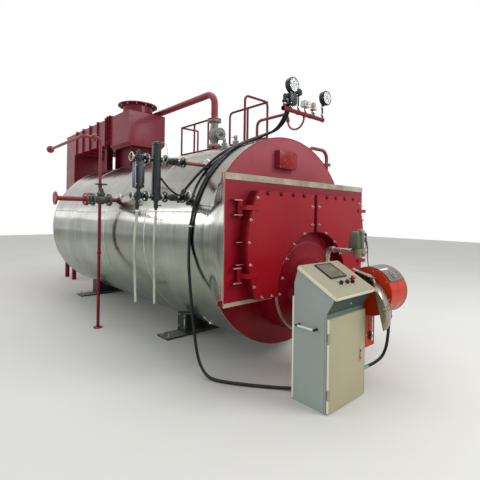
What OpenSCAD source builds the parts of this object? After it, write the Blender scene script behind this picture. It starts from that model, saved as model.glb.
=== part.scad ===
// Horizontal fire-tube steam boiler, packaged with burner, flue ducting, level gauges and control desk.
// The burner end faces -Y, +Z is up, and the origin is on the floor under the front saddle.

/* [Shell] */
// Outer diameter of the steel cladding
shell_d = 2300; // [2000:10:2600]
// Length of the clad shell
shell_len = 4870; // [4400:10:5400]
// Thickness of the cladding, insulation and pressure shell together
shell_wall = 96; // [60:2:140]
// Height of the shell axis above the floor
axis_height = 1305; // [1290:5:1500]
// Thickness of the two end plates
end_plate_t = 20; // [12:1:30]

/* [Furnace and tubes] */
// Depth of the furnace axis below the shell axis
furnace_drop = 475; // [460:5:490]
// Outer diameter of the furnace mouth
furnace_d = 900; // [840:10:920]
// Bore of a smoke tube
tube_d = 57; // [38:1:63]
// Distance between tube centres
tube_pitch = 92; // [86:1:110]

/* [Smokebox] */
// Height of the smokebox roof above the shell axis
smokebox_top = 648; // [620:2:670]
// Depth of the smokebox floor below the shell axis
smokebox_bottom = 543; // [530:1:560]
// How far the smokebox stands out from the end plate
smokebox_depth = 250; // [220:5:320]
// Plate thickness of the smokebox and the door frame
plate_t = 12; // [8:1:16]
// Height of the pale cover strips
strip_h = 60; // [40:1:70]
// Depth of the door frame in front of the smokebox
door_frame_depth = 92; // [80:1:110]

/* [Doors] */
// Diameter of the rounded outer edge of the pair of doors
door_round_d = 1960; // [1930:2:1990]
// Half height of the doors
door_half_h = 500; // [490:1:505]
// Thickness of a door leaf
door_t = 30; // [20:1:36]
// Thickness of the insulating block behind a door leaf
door_block_t = 31; // [24:1:40]
// How far the insulating block stays inside the edge of its leaf
door_block_inset = 60; // [50:1:80]
// Half width of the bar between the doors
mullion_half_w = 20; // [14:1:26]
// Diameter of the round cut in the doors for the burner
burner_cut_d = 1170; // [1150:2:1190]
// Running gap round a door leaf
door_gap = 5; // [5:0.5:8]
// Distance of a door's hinge pin from the boiler axis
hinge_x = 1000; // [1000:1:1020]
// Diameter of a door's hinge pin
hinge_pin_d = 24; // [18:1:28]
// Outer diameter of a hinge tube
hinge_tube_d = 48; // [40:1:52]
// Half height of a hinge tube
hinge_half_h = 60; // [50:1:70]

/* [Saddles] */
// Distance from the end plate to the middle of the front saddle
front_saddle_y = 1350; // [1250:10:1500]
// Distance from the rear end of the shell to the middle of the rear saddle
rear_saddle_inset = 440; // [380:10:700]
// Half width of a saddle
saddle_half_w = 500; // [450:5:560]
// Depth of a saddle along the boiler
saddle_depth = 200; // [160:2:220]
// Length of the foot plate across the boiler
foot_len = 1600; // [1500:10:1700]
// Depth of the foot plate along the boiler
foot_depth = 250; // [230:5:280]
// Thickness of the foot plate
foot_t = 20; // [16:1:30]
// Diameter of an anchor hole
anchor_d = 26; // [22:1:33]
// Distance of an anchor hole from the end of the foot plate
anchor_inset = 60; // [50:1:80]
// Distance between the two rows of anchor holes
anchor_row = 140; // [120:2:150]

/* [Flue] */
// Width of the flue duct
duct_w = 720; // [640:10:800]
// Height of the flue duct
duct_h = 490; // [440:5:560]
// Height of the duct roof above the shell axis
duct_top = 2100; // [2000:10:2200]
// Distance from the rear end of the shell to the front of the chimney box
chimney_inset = 1520; // [1450:10:1600]
// Depth of the chimney box along the boiler
chimney_box_len = 790; // [750:10:850]
// Height of the chimney box
chimney_box_h = 620; // [580:5:680]
// Distance from the rear end of the shell to the front of the rear riser
riser_gap = 1330; // [1100:10:1500]
// Depth of the riser along the boiler
riser_len = 580; // [500:10:700]
// Outer diameter of the chimney neck
chimney_neck_d = 540; // [500:5:560]
// Outer diameter of the chimney flange
chimney_flange_d = 720; // [700:5:760]
// Diameter of the bolt circle on the chimney flange
chimney_bolt_circle_d = 640; // [620:5:660]
// Height of the chimney flange above the box
chimney_neck_h = 210; // [160:5:260]
// Distance between the stiffening frames of the duct
stiffener_pitch = 420; // [360:10:500]

/* [Steam outlet] */
// Distance from the boiler axis to the steam valve
steam_x = 400; // [380:5:420]
// Distance from the end plate to the steam valve
steam_y = 1880; // [1800:10:2000]
// Outer diameter of the steam pipe
steam_pipe_d = 108; // [89:1:114]
// Outer diameter of a steam flange
steam_flange_d = 220; // [210:1:225]
// Diameter of the bolt circle on the steam flanges
steam_bolt_circle_d = 180; // [170:1:185]
// Height of the red stub's flange above the shell axis
steam_stub_z = 1357; // [1300:1:1400]
// Height of the steam valve between its flanges
steam_valve_h = 414; // [380:2:440]
// Height of the steam pipe above the shell axis
steam_pipe_z = 2220; // [2215:5:2300]
// Distance from the rear end of the shell to the free end of the steam pipe
steam_end_inset = 170; // [120:10:300]

/* [Guard rail] */
// Distance from the boiler axis to the guard rail
rail_x = 700; // [650:10:750]
// Height of the top rail above the shell axis
rail_z = 1940; // [1850:10:2000]
// Outer diameter of the rail tube
rail_d = 34; // [26:1:42]
// Distance between the posts of the guard rail
rail_pitch = 425; // [380:5:430]
// Distance from the end plate to the front end of the guard rail
rail_front_y = 1000; // [900:10:1000]

/* [Level gauges] */
// Distance from the end plate to the gauge line
gauge_y = 440; // [420:5:520]
// Height of the upper gauge line above the shell axis
gauge_upper_z = 800; // [760:5:830]
// Height of the lower gauge line above the shell axis
gauge_lower_z = 440; // [410:5:470]
// Distance from the boiler axis to the water column
column_x = 1420; // [1390:5:1460]
// Outer diameter of the water column
column_d = 89; // [76:1:108]
// Distance from the boiler axis to the level glass
glass_x = 1605; // [1585:5:1650]
// Outer diameter of the level glass and its guard
glass_d = 96; // [80:1:110]
// Outer diameter of the gauge pipes
gauge_pipe_d = 38; // [32:1:42]
// Outer diameter of the handwheels on the gauges
gauge_wheel_d = 90; // [70:1:100]

/* [Feedwater] */
// Distance from the end plate to the feedwater line
feed_y = 2150; // [2100:10:2300]
// Height of the feedwater line above the shell axis
feed_z = 450; // [420:5:480]
// Outer diameter of the feedwater pipe
feed_pipe_d = 60; // [48:1:76]
// Outer diameter of a feedwater flange
feed_flange_d = 165; // [155:1:175]
// Diameter of the bolt circle on the feedwater flanges
feed_bolt_circle_d = 125; // [120:1:130]
// Distance from the cladding to the flange where the feed valve begins
feed_in = 34; // [20:1:100]
// Length of the feed valve between its flanges
feed_globe_len = 218; // [190:1:240]
// Length of the check valve between its flanges
feed_check_len = 87; // [70:1:110]
// Distance from the cladding to the free end of the feedwater pipe
feed_end_x = 720; // [650:10:800]
// Outer diameter of the feed valve handwheel
feed_wheel_d = 160; // [140:1:200]

/* [Standpipe] */
// Distance from the cladding to the standpipe
stand_x = 105; // [75:5:150]
// Distance from the feedwater line to the standpipe
stand_behind_feed = 140; // [130:5:200]
// Outer diameter of the standpipe
stand_d = 42; // [34:1:48]
// Height of the standpipe's bend above the shell axis
stand_z = 1300; // [1200:10:1400]
// Distance from the cladding to the pipe that runs back from the standpipe
vent_run_x = 350; // [300:10:400]

/* [Pressure gauges] */
// Half length of the gauge manifold
manifold_half_len = 350; // [345:5:420]
// How far the manifold stands in front of the end plate
manifold_out = 230; // [200:5:260]
// Height of the manifold above the shell axis
manifold_z = 1385; // [1370:5:1420]
// Outer diameter of the manifold
manifold_d = 45; // [38:1:51]
// Case diameter of the pressure gauges
gauge_case_d = 160; // [140:1:165]
// Outer diameter of the pipe that carries the manifold
support_d = 42; // [30:1:44]

/* [Burner] */
// Outer diameter of the blower drum
drum_d = 440; // [420:5:460]
// Length of the blower drum
drum_len = 310; // [290:5:360]
// Distance in front of the end plate of the drum axis
drum_out = 1005; // [990:5:1020]
// Depth of the drum axis below the shell axis
drum_drop = 430; // [420:5:440]
// Outer diameter of the silver cover beside the drum
scoop_d = 430; // [400:5:450]
// Depth of the silver cover beside the drum
scoop_h = 95; // [80:1:110]
// Outer diameter of the gas pipe
gas_pipe_d = 60; // [48:1:60]
// Depth of the gas pipe below the shell axis
gas_drop = 60; // [50:5:80]
// Diameter of the flexible conduit on the burner
burner_cable_d = 28; // [20:1:32]

/* [Control desk] */
// Width of the desk body
desk_w = 556; // [520:2:570]
// Depth of the desk body
desk_depth = 332; // [320:2:345]
// Height of the back edge of the desk top
desk_back_h = 1158; // [1140:2:1165]
// Height of the front edge of the desk top
desk_front_h = 949; // [930:1:960]
// Distance from the boiler axis to the left side of the desk
desk_left_x = 720; // [710:5:725]
// How far the front of the desk body stands from the end plate
desk_front_out = 1052; // [1050:1:1090]
// Sheet thickness of the desk, drawn at the stiffness of its folded edges
desk_sheet = 20; // [12:1:25]
// Thickness of the desk top
lid_t = 34; // [26:1:40]
// Thickness of the desk's cream door and back panel
desk_leaf_t = 18; // [14:1:20]

/* [Cables] */
// Diameter of the control cable
cable_d = 30; // [22:1:36]

/* [Hidden] */
$fn = 48;
fine_fn = 96;
hole_fn = 24;
R = shell_d / 2;
// Gap between pieces that are seated on each other
seat_gap = 0.3;
// How far a cutting shape runs past what it cuts
EPS = 1;

// Planes and places along the boiler, measured from the back of the front end plate
plate_front = -end_plate_t;
box_front = plate_front - smokebox_depth;
face_front = box_front - plate_t;
frame_front = face_front - door_frame_depth;
door_front = frame_front - door_t;
hinge_y = face_front - hinge_tube_d / 2 - 6;
shell_back = shell_len + end_plate_t;
rear_saddle_y = shell_len - rear_saddle_inset;
chimney_box_y = shell_len - chimney_inset;
chimney_y = chimney_box_y + chimney_box_len / 2;
riser_y = shell_len + riser_gap;

// Turns the boiler's own frame, with its axis as origin, into the frame of the part
module on_axis() {
    translate([0, -front_saddle_y, axis_height]) children();
}

// Prism with its outline in X and Z, from y0 forward to y0 - depth
module slab(y0, depth) {
    translate([0, y0, 0]) rotate([90, 0, 0]) linear_extrude(depth) children();
}

// Prism with its outline in Y and Z, from x0 to x0 + width
module side_slab(x0, width) {
    translate([x0, 0, 0]) rotate([90, 0, 90]) linear_extrude(width) children();
}

module box(x0, x1, y0, y1, z0, z1) {
    translate([x0, y0, z0]) cube([x1 - x0, y1 - y0, z1 - z0]);
}

module rod(p, q, d) {
    v = q - p;
    run = norm([v[0], v[1]]);
    translate(p) rotate([0, atan2(run, v[2]), atan2(v[1], v[0])]) cylinder(d = d, h = norm(v));
}

// Quarter bend in the plane of Y and Z, turning from the direction first to the direction last, in degrees
module bend_yz(centre, r, d, first, last) {
    translate(centre) rotate([90, 0, 90]) rotate([0, 0, first]) rotate_extrude(angle = last - first)
        translate([r, 0]) circle(d = d);
}

// The same in the plane of X and Z
module bend_xz(centre, r, d, first, last) {
    translate(centre) rotate([90, 0, 0]) rotate([0, 0, first]) rotate_extrude(angle = last - first)
        translate([r, 0]) circle(d = d);
}

module shell_clearance(gap = seat_gap) {
    translate([0, -EPS, 0]) rotate([-90, 0, 0]) cylinder(r = R + gap, h = shell_len + 2 * EPS, $fn = 360);
}

module on_shell() {
    difference() {
        children();
        shell_clearance();
    }
}

module bolt_holes(circle_d, count, d, h) {
    step = 360 / count;
    for (k = [0 : count - 1]) rotate(k * step + step / 2)
        translate([circle_d / 2, 0, -EPS]) cylinder(d = d, h = h + 2 * EPS, $fn = hole_fn);
}

// Outline of the pair of doors, a wide band of a disc
module door_outline(inset = 0) {
    intersection() {
        circle(d = door_round_d - 2 * inset, $fn = fine_fn);
        square([door_round_d, 2 * (door_half_h - inset)], center = true);
    }
}

module burner_hole(inset = 0) {
    translate([0, -furnace_drop]) circle(d = burner_cut_d - 2 * inset, $fn = fine_fn);
}

furnace_collar = 40;
module furnace_circle(grow) {
    translate([0, -furnace_drop]) circle(d = furnace_d + 2 * grow, $fn = fine_fn);
}

module smokebox_outline(inset = 0) {
    translate([-R + inset, -smokebox_bottom + inset])
        square([2 * (R - inset), smokebox_top + smokebox_bottom - 2 * inset]);
    furnace_circle(furnace_collar - inset);
}

module saddle(y) {
    inner = saddle_half_w - plate_t;
    rib_x = inner / 3;
    bottom = -axis_height + foot_t - EPS;
    on_axis() translate([0, y, 0]) {
        difference() {
            union() {
                for (x = [-saddle_half_w, saddle_half_w, -rib_x, rib_x])
                    box(x - plate_t / 2, x + plate_t / 2, -saddle_depth / 2, saddle_depth / 2, bottom, 0);
                box(-inner - EPS, inner + EPS, -plate_t / 2, plate_t / 2, bottom, 0);
            }
            rotate([90, 0, 0]) cylinder(r = R + seat_gap, h = 2 * saddle_depth, center = true, $fn = 360);
        }
        difference() {
            box(-foot_len / 2, foot_len / 2, -foot_depth / 2, foot_depth / 2,
                -axis_height, -axis_height + foot_t);
            for (side = [-1, 1], row = [-1, 1])
                translate([side * (foot_len / 2 - anchor_inset), row * anchor_row / 2, -axis_height - EPS])
                    cylinder(d = anchor_d, h = foot_t + 2 * EPS);
        }
    }
}
module front_saddle() { color("#1c1d1f") saddle(front_saddle_y); }
module rear_saddle() { color("#1c1d1f") saddle(rear_saddle_y); }

module shell() {
    color("#b9bcbb") on_axis() difference() {
        rotate([-90, 0, 0]) cylinder(r = R, h = shell_len, $fn = fine_fn);
        translate([0, -EPS, 0]) rotate([-90, 0, 0])
            cylinder(r = R - shell_wall, h = shell_len + 2 * EPS, $fn = fine_fn);
    }
}

// Smoke tubes of the second and third pass, in staggered rows beside the middle line above the furnace
tube_rows = 7;
tubes_in_row = 5;
first_tube_z = 90;
tube_middle_gap = 40;
tube_edge_margin = 330;
module tube_holes() {
    for (row = [0 : tube_rows - 1], side = [-1, 1], k = [0 : tubes_in_row - 1])
        let (x = side * (tube_pitch * (k + 0.5 + (row % 2) / 2) + tube_middle_gap),
             z = first_tube_z + row * tube_pitch * 0.8)
            if (norm([x, z]) < R - shell_wall - tube_edge_margin)
                translate([x, z]) circle(d = tube_d, $fn = hole_fn);
}

furnace_wall = 30;
module front_tube_plate() {
    color("#8e1524") on_axis() slab(0, end_plate_t) difference() {
        circle(r = R, $fn = fine_fn);
        furnace_circle(-furnace_wall);
        tube_holes();
    }
}
module rear_plate() {
    color("#8e1524") on_axis() slab(shell_back, end_plate_t) circle(r = R, $fn = fine_fn);
}

module smokebox() {
    color("#a3172a") on_axis() slab(plate_front, smokebox_depth) difference() {
        smokebox_outline();
        smokebox_outline(plate_t);
    }
}
furnace_run_gap = 10;
module smokebox_front() {
    color("#a3172a") on_axis() slab(box_front, plate_t) difference() {
        smokebox_outline();
        difference() {
            door_outline(plate_t);
            burner_hole();
        }
        furnace_circle(-furnace_run_gap);
    }
}

strip_t = 6;
lower_strip_h = 36;
module cover_strips() {
    color("#9aa59a") on_axis() slab(face_front, strip_t) {
        translate([-R, smokebox_top - strip_h]) square([2 * R, strip_h]);
        difference() {
            union() {
                translate([-R, -smokebox_bottom]) square([2 * R, lower_strip_h]);
                furnace_circle(furnace_collar);
            }
            furnace_circle(strip_t);
            translate([-R, -door_half_h - 2]) square([2 * R, 4 * R]);
        }
    }
}

module door_frame() {
    mullion_bottom = burner_cut_d / 2 - furnace_drop - plate_t / 2;
    color("#8e1524") on_axis() slab(face_front, door_frame_depth) {
        difference() {
            door_outline();
            door_outline(plate_t);
            burner_hole(plate_t);
        }
        intersection() {
            door_outline();
            difference() {
                burner_hole();
                burner_hole(plate_t);
            }
        }
        translate([-mullion_half_w, mullion_bottom])
            square([2 * mullion_half_w, door_half_h - plate_t / 2 - mullion_bottom]);
    }
}

hinge_levels = [340, -265];
hinge_strap_t = 12;
hinge_strap_h = 40;
hinge_strap_len = 150;
// A leaf with its hinge tubes, drawn for the left side
module door_leaf() {
    slab(frame_front - seat_gap, door_t) difference() {
        door_outline();
        burner_hole();
        translate([-mullion_half_w - door_gap, -R]) square(2 * R);
    }
    slab(frame_front - seat_gap + door_block_t - EPS, door_block_t) difference() {
        door_outline(door_block_inset);
        burner_hole(plate_t - door_block_inset);
        translate([-mullion_half_w - door_block_inset, -R]) square(2 * R);
    }
    for (z = hinge_levels) difference() {
        union() {
            translate([-hinge_x, hinge_y, z - hinge_half_h + EPS])
                cylinder(d = hinge_tube_d, h = 2 * hinge_half_h - 2 * EPS);
            for (s = [[hinge_strap_t, hinge_y], [hinge_strap_len, door_front]])
                box(-hinge_x - hinge_strap_t, -hinge_x + s[0], door_front - hinge_strap_t, s[1],
                    z - hinge_strap_h / 2, z + hinge_strap_h / 2);
        }
        translate([-hinge_x, hinge_y, z - hinge_half_h]) cylinder(d = hinge_pin_d + 1, h = 2 * hinge_half_h);
    }
}
module left_door() { color("#b01a2e") on_axis() door_leaf(); }
module right_door() { color("#b01a2e") on_axis() mirror([1, 0, 0]) door_leaf(); }

hinge_lug_len = 85;
module hinge_brackets() {
    color("#8e1524") on_axis() for (side = [0, 1], z = hinge_levels) mirror([side, 0, 0]) {
        translate([-hinge_x, hinge_y, z - hinge_half_h - plate_t])
            cylinder(d = hinge_pin_d, h = 2 * (hinge_half_h + plate_t));
        for (edge = [-1, 1])
            translate([0, 0, z + edge * (hinge_half_h + plate_t / 2) - plate_t / 2])
                box(-hinge_x - hinge_lug_len, -hinge_x + hinge_tube_d / 2 - 4,
                    hinge_y - hinge_tube_d / 2, face_front, 0, plate_t);
    }
}

mouth_front = frame_front - 20;
mouth_flange_t = 16;
throat_len = 130;
// Flanged tube in front of the tube plate, drawn in to the burner's throat by a cone
module furnace_mouth() {
    tube_r = furnace_d / 2 - 15;
    inner_r = tube_r - 25;
    front = -mouth_front;
    back = front - mouth_flange_t;
    tip = front + throat_len;
    color("#7d1220") on_axis() translate([0, 0, -furnace_drop]) rotate([90, 0, 0]) rotate_extrude($fn = fine_fn)
        polygon([[inner_r, end_plate_t], [tube_r, end_plate_t], [tube_r, back], [tube_r + 50, back],
                 [tube_r + 50, front], [320, front], [250, tip], [200, tip], [200, tip - mouth_flange_t],
                 [235, tip - mouth_flange_t], [303, back], [inner_r, back]]);
}

plate_box = [-232, 62, 790, 985];
plate_box_depth = 70;
plate_box_rim = 15;
module nameplate_box() {
    front = plate_front - plate_box_depth;
    color("#9b1d2c") on_axis() difference() {
        box(plate_box[0], plate_box[1], front, plate_front, plate_box[2], plate_box[3]);
        box(plate_box[0] + plate_box_rim, plate_box[1] - plate_box_rim, front - EPS, front + plate_box_rim,
            plate_box[2] + plate_box_rim, plate_box[3] - plate_box_rim);
    }
}

duct_bottom = duct_top - duct_h;
joint_len = 120;
joint_frame_t = 16;
stiffener_h = 30;
duct_front = chimney_box_y + chimney_box_len + joint_len;
riser_leg_w = 80;
riser_bottom = -700;
riser_inlet = [100, 700];
module flue_riser() {
    color("#a3172a") on_axis() {
        box(-duct_w / 2, duct_w / 2, riser_y, riser_y + riser_len, riser_bottom, duct_bottom);
        box(-duct_w / 2, duct_w / 2, shell_back, riser_y + EPS, riser_inlet[0], riser_inlet[1]);
        for (x = [-duct_w / 2, duct_w / 2 - riser_leg_w], y = [riser_y, riser_y + riser_len - riser_leg_w])
            box(x, x + riser_leg_w, y, y + riser_leg_w, -axis_height, riser_bottom + EPS);
    }
}
module flue_duct() {
    color("#a3172a") on_axis() {
        box(-duct_w / 2, duct_w / 2, duct_front, riser_y + riser_len, duct_bottom, duct_top);
        for (y = [duct_front + 90 : stiffener_pitch : riser_y - 60])
            box(-duct_w / 2 - stiffener_h, duct_w / 2 + stiffener_h, y, y + joint_frame_t,
                duct_bottom - stiffener_h, duct_top + stiffener_h);
    }
}
module expansion_joint() {
    y0 = chimney_box_y + chimney_box_len;
    frame_h = 40;
    inner = 10;
    color("#3a1c22") on_axis() {
        for (y = [y0, y0 + joint_len - joint_frame_t])
            box(-duct_w / 2 - frame_h, duct_w / 2 + frame_h, y, y + joint_frame_t,
                duct_bottom - frame_h, duct_top + frame_h);
        box(-duct_w / 2 + inner, duct_w / 2 - inner, y0 + inner, y0 + joint_len - inner,
            duct_bottom + inner, duct_top - inner);
    }
}

chimney_bottom = duct_top - chimney_box_h;
chimney_chamfer = 60;
neck_wall = 8;
neck_flange_t = 20;
module chimney_box() {
    half = duct_w / 2;
    color("#a3172a") on_axis() difference() {
        slab(chimney_box_y + chimney_box_len, chimney_box_len)
            polygon([[-half, duct_top], [half, duct_top], [half, chimney_bottom + chimney_chamfer],
                     [half - chimney_chamfer, chimney_bottom], [-half + chimney_chamfer, chimney_bottom],
                     [-half, chimney_bottom + chimney_chamfer]]);
        translate([0, chimney_y, chimney_bottom + 80])
            cylinder(d = chimney_neck_d - 60, h = chimney_box_h, $fn = fine_fn);
    }
}
module chimney_neck() {
    color("#7d1220") on_axis() translate([0, chimney_y, duct_top]) difference() {
        union() {
            cylinder(d = chimney_neck_d, h = chimney_neck_h, $fn = fine_fn);
            translate([0, 0, chimney_neck_h - neck_flange_t])
                cylinder(d = chimney_flange_d, h = neck_flange_t, $fn = fine_fn);
        }
        translate([0, 0, -EPS])
            cylinder(d = chimney_neck_d - 2 * neck_wall, h = chimney_neck_h + 2 * EPS, $fn = fine_fn);
        translate([0, 0, chimney_neck_h - neck_flange_t])
            bolt_holes(chimney_bolt_circle_d, 12, 18, neck_flange_t);
    }
}

support_sink = 900;
gusset_r = 620;
module duct_support() {
    first = chimney_box_y + 60;
    last = chimney_box_y + chimney_box_len - 80;
    post_y = shell_len - 260;
    color("#7d1220") on_axis() on_shell() {
        for (y = [first, last])
            slab(y + plate_t, plate_t)
                intersection() {
                    translate([-duct_w / 2 + 70, support_sink])
                        square([duct_w - 140, chimney_bottom - support_sink]);
                    translate([0, chimney_bottom + 120]) circle(r = gusset_r, $fn = fine_fn);
                }
        for (x = [-200, 200])
            box(x - plate_t / 2, x + plate_t / 2, first + plate_t, last, support_sink, chimney_bottom);
        for (x = [-280, 160])
            box(x, x + 120, post_y - 120, post_y, support_sink, duct_bottom);
    }
}

steam_flange_t = 24;
bonnet_d = 185;
bonnet_z = 0.44;
module steam_valve() {
    waist_d = 118;
    body_d = 176;
    h = steam_valve_h;
    color("#7f8583") on_axis() translate([steam_x, steam_y, steam_stub_z]) {
        rotate_extrude() polygon([
            [0, 0], [steam_flange_d / 2, 0], [steam_flange_d / 2, steam_flange_t],
            [waist_d / 2, steam_flange_t + 14], [waist_d / 2 + 6, h * 0.2], [body_d / 2, h * 0.34],
            [body_d / 2, h * 0.52], [waist_d / 2 + 4, h * 0.68],
            [waist_d / 2, h - steam_flange_t - 14], [steam_flange_d / 2, h - steam_flange_t],
            [steam_flange_d / 2, h], [0, h]]);
        translate([0, 0, h * bonnet_z]) rotate([90, 0, 0]) {
            cylinder(d = 130, h = 150);
            translate([0, 0, 120]) cylinder(d = bonnet_d, h = 22);
            translate([0, 0, 148]) cylinder(d = bonnet_d, h = 26);
        }
    }
    color("#8e1524") on_axis() on_shell() translate([steam_x, steam_y, 0]) {
        translate([0, 0, steam_stub_z - seat_gap - steam_flange_t])
            cylinder(d = steam_flange_d, h = steam_flange_t);
        cylinder(d = steam_pipe_d, h = steam_stub_z - seat_gap - EPS);
    }
}
steam_bend = 190;
module steam_pipe() {
    z0 = steam_stub_z + steam_valve_h;
    run = shell_len - steam_end_inset - steam_y;
    color("#a3172a") on_axis() translate([steam_x, steam_y, 0]) {
        translate([0, 0, z0]) cylinder(d = steam_flange_d, h = steam_flange_t);
        translate([0, 0, z0]) cylinder(d = steam_pipe_d, h = steam_pipe_z - steam_bend - z0);
        bend_yz([0, steam_bend, steam_pipe_z - steam_bend], steam_bend, steam_pipe_d, 90, 180);
        translate([0, steam_bend, steam_pipe_z]) rotate([-90, 0, 0])
            cylinder(d = steam_pipe_d, h = run - steam_bend);
        translate([0, run - steam_flange_t, steam_pipe_z]) rotate([-90, 0, 0]) difference() {
            cylinder(d = steam_flange_d, h = steam_flange_t);
            bolt_holes(steam_bolt_circle_d, 8, 18, steam_flange_t);
        }
    }
}

safety_y = [1130, 1380];
safety_x = 200;
safety_seat_z = 1210;
module safety_valves() {
    color("#6f7471") on_axis() on_shell() for (y = safety_y) translate([safety_x, y, 0]) {
        cylinder(d = 60, h = safety_seat_z + 70);
        translate([0, 0, safety_seat_z]) cylinder(d = 120, h = 18);
        translate([0, 0, safety_seat_z + 18]) cylinder(d = 84, h = 70);
        translate([0, 0, safety_seat_z + 88]) cylinder(d = 50, h = 90);
        translate([0, 0, safety_seat_z + 52]) rotate([90, 0, 0]) cylinder(d = 46, h = 80);
    }
}

// Gooseneck on the right shoulder of the shell, with a flange and a grey tail
vent_d = 45;
vent_y = 150;
vent_x = [570, 980];
vent_top = 1150;
vent_bend = 110;
vent_flange_z = 950;
module vent_pipe() {
    color("#7d1220") on_axis() on_shell() {
        rod([vent_x[0], vent_y, R / 2], [vent_x[0], vent_y, vent_top - vent_bend], vent_d);
        bend_xz([vent_x[0] + vent_bend, vent_y, vent_top - vent_bend], vent_bend, vent_d, 90, 180);
        rod([vent_x[0] + vent_bend, vent_y, vent_top], [vent_x[1] - vent_bend, vent_y, vent_top], vent_d);
        bend_xz([vent_x[1] - vent_bend, vent_y, vent_top - vent_bend], vent_bend, vent_d, 0, 90);
        rod([vent_x[1], vent_y, R / 3], [vent_x[1], vent_y, vent_top - vent_bend], vent_d);
        translate([vent_x[1], vent_y, vent_flange_z]) cylinder(d = 110, h = 28);
    }
}

rail_rear_y = chimney_box_y - 60;
rail_bend = 70;
rail_base_z = 800;
toe_z = 1380;
hoop_x = 250;
far_rail_x = 1080;
module guard_rail() {
    front_back_y = rail_front_y + 2 * rail_pitch;
    color("#6b1620") on_axis() on_shell() {
        // Rear length, with the bar across its end
        rod([rail_x, rail_rear_y, rail_z], [rail_x, rail_rear_y - 2 * rail_pitch, rail_z], rail_d);
        rod([rail_x, rail_rear_y, rail_z], [far_rail_x, rail_rear_y, rail_z], rail_d);
        for (k = [0 : 2])
            rod([rail_x, rail_rear_y - k * rail_pitch, rail_base_z],
                [rail_x, rail_rear_y - k * rail_pitch, rail_z], rail_d);
        rod([far_rail_x, rail_rear_y, 0], [far_rail_x, rail_rear_y, rail_z], rail_d);
        // Front length, rounded at its rear end, with a hoop across its front end
        rod([rail_x, rail_front_y, rail_z], [rail_x, front_back_y - rail_bend, rail_z], rail_d);
        bend_yz([rail_x, front_back_y - rail_bend, rail_z - rail_bend], rail_bend, rail_d, 0, 90);
        rod([rail_x, front_back_y, rail_base_z], [rail_x, front_back_y, rail_z - rail_bend], rail_d);
        rod([rail_x, rail_front_y + rail_pitch, rail_base_z],
            [rail_x, rail_front_y + rail_pitch, rail_z], rail_d);
        rod([rail_x, rail_front_y, rail_base_z], [rail_x, rail_front_y, rail_z - rail_bend / 2], rail_d);
        bend_xz([rail_x - rail_bend, rail_front_y, rail_z - rail_bend], rail_bend, rail_d, 0, 90);
        rod([hoop_x + rail_bend, rail_front_y, rail_z], [rail_x - rail_bend, rail_front_y, rail_z], rail_d);
        bend_xz([hoop_x + rail_bend, rail_front_y, rail_z - rail_bend], rail_bend, rail_d, 90, 180);
        rod([hoop_x, rail_front_y, rail_base_z], [hoop_x, rail_front_y, rail_z - rail_bend], rail_d);
        box(rail_x - 4, rail_x + 4, rail_front_y, rail_rear_y, toe_z, toe_z + 50);
    }
}

support_y = 500;
support_z = 1440;
support_bend = 75;
support_base_d = 115;
// Pipe from the shell to the manifold, with a siphon loop ahead of the gauges
module manifold_support() {
    siphon_r = manifold_out / 2;
    siphon_z = manifold_z - 30;
    over_z = support_z - support_bend;
    color("#8e1524") on_axis() difference() {
        on_shell() {
            rod([0, support_y, R - 50], [0, support_y, over_z], support_d);
            translate([0, support_y, R - 10]) cylinder(d = support_base_d, h = 30);
            bend_yz([0, support_y - support_bend, over_z], support_bend, support_d, 0, 90);
            rod([0, support_y - support_bend, support_z], [0, support_bend, support_z], support_d);
            bend_yz([0, support_bend, over_z], support_bend, support_d, 90, 180);
            rod([0, 0, over_z], [0, 0, siphon_z], support_d);
            bend_yz([0, -siphon_r, siphon_z], siphon_r, support_d, 180, 360);
            rod([0, -manifold_out, siphon_z], [0, -manifold_out, manifold_z], support_d);
        }
        rod([-100, -manifold_out, manifold_z], [100, -manifold_out, manifold_z], manifold_d + 2 * seat_gap);
    }
}

branch_h = 45;
branch_d = 18;
branches = [-320, -230, -100, 20, 165, 335];
module gauge_manifold() {
    color("#8e1524") on_axis() {
        rod([-manifold_half_len, -manifold_out, manifold_z], [manifold_half_len, -manifold_out, manifold_z],
            manifold_d);
        for (x = branches)
            rod([x, -manifold_out, manifold_z], [x, -manifold_out, manifold_z + branch_h], branch_d);
    }
}
gauge_case_t = 50;
left_gauge = [-250, 1632];
right_gauge = [335, 1625];
module pressure_gauges() {
    small_gauge_z = 1600;
    stem_top = right_gauge[1] - gauge_case_d / 2 + 4;
    color("#d9dcd8") on_axis() {
        translate([left_gauge[0], -manifold_out - 10, left_gauge[1]]) rotate([90, 0, 0])
            cylinder(d = gauge_case_d, h = gauge_case_t);
        translate([right_gauge[0], -manifold_out - 10, right_gauge[1]]) rotate([90, 0, 0])
            cylinder(d = gauge_case_d, h = gauge_case_t);
        rod([right_gauge[0], -manifold_out, manifold_z + branch_h],
            [right_gauge[0], -manifold_out, stem_top + 30], 20);
        box(right_gauge[0] - 9, right_gauge[0] + 9, -manifold_out - 30, -manifold_out + 9,
            stem_top, stem_top + 30);
        // Small gauge on its siphon, behind the large one
        rod([branches[2], -manifold_out, manifold_z + branch_h],
            [branches[2], -manifold_out, small_gauge_z - 25], 16);
        translate([branches[2], -manifold_out + 18, small_gauge_z]) rotate([90, 0, 0])
            cylinder(d = 76, h = 36);
        // Test cock at the left end
        rod([branches[0], -manifold_out, manifold_z + branch_h], [branches[0], -manifold_out, 1540], 18);
        rod([branches[0], -manifold_out - 30, 1470], [branches[0], -manifold_out + 30, 1470], 26);
    }
}
contact_box = [-282, -180, 1435, 1551];
switch_box = [-22, 72, 1465, 1530];
pot_z = [1435, 1540];
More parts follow.
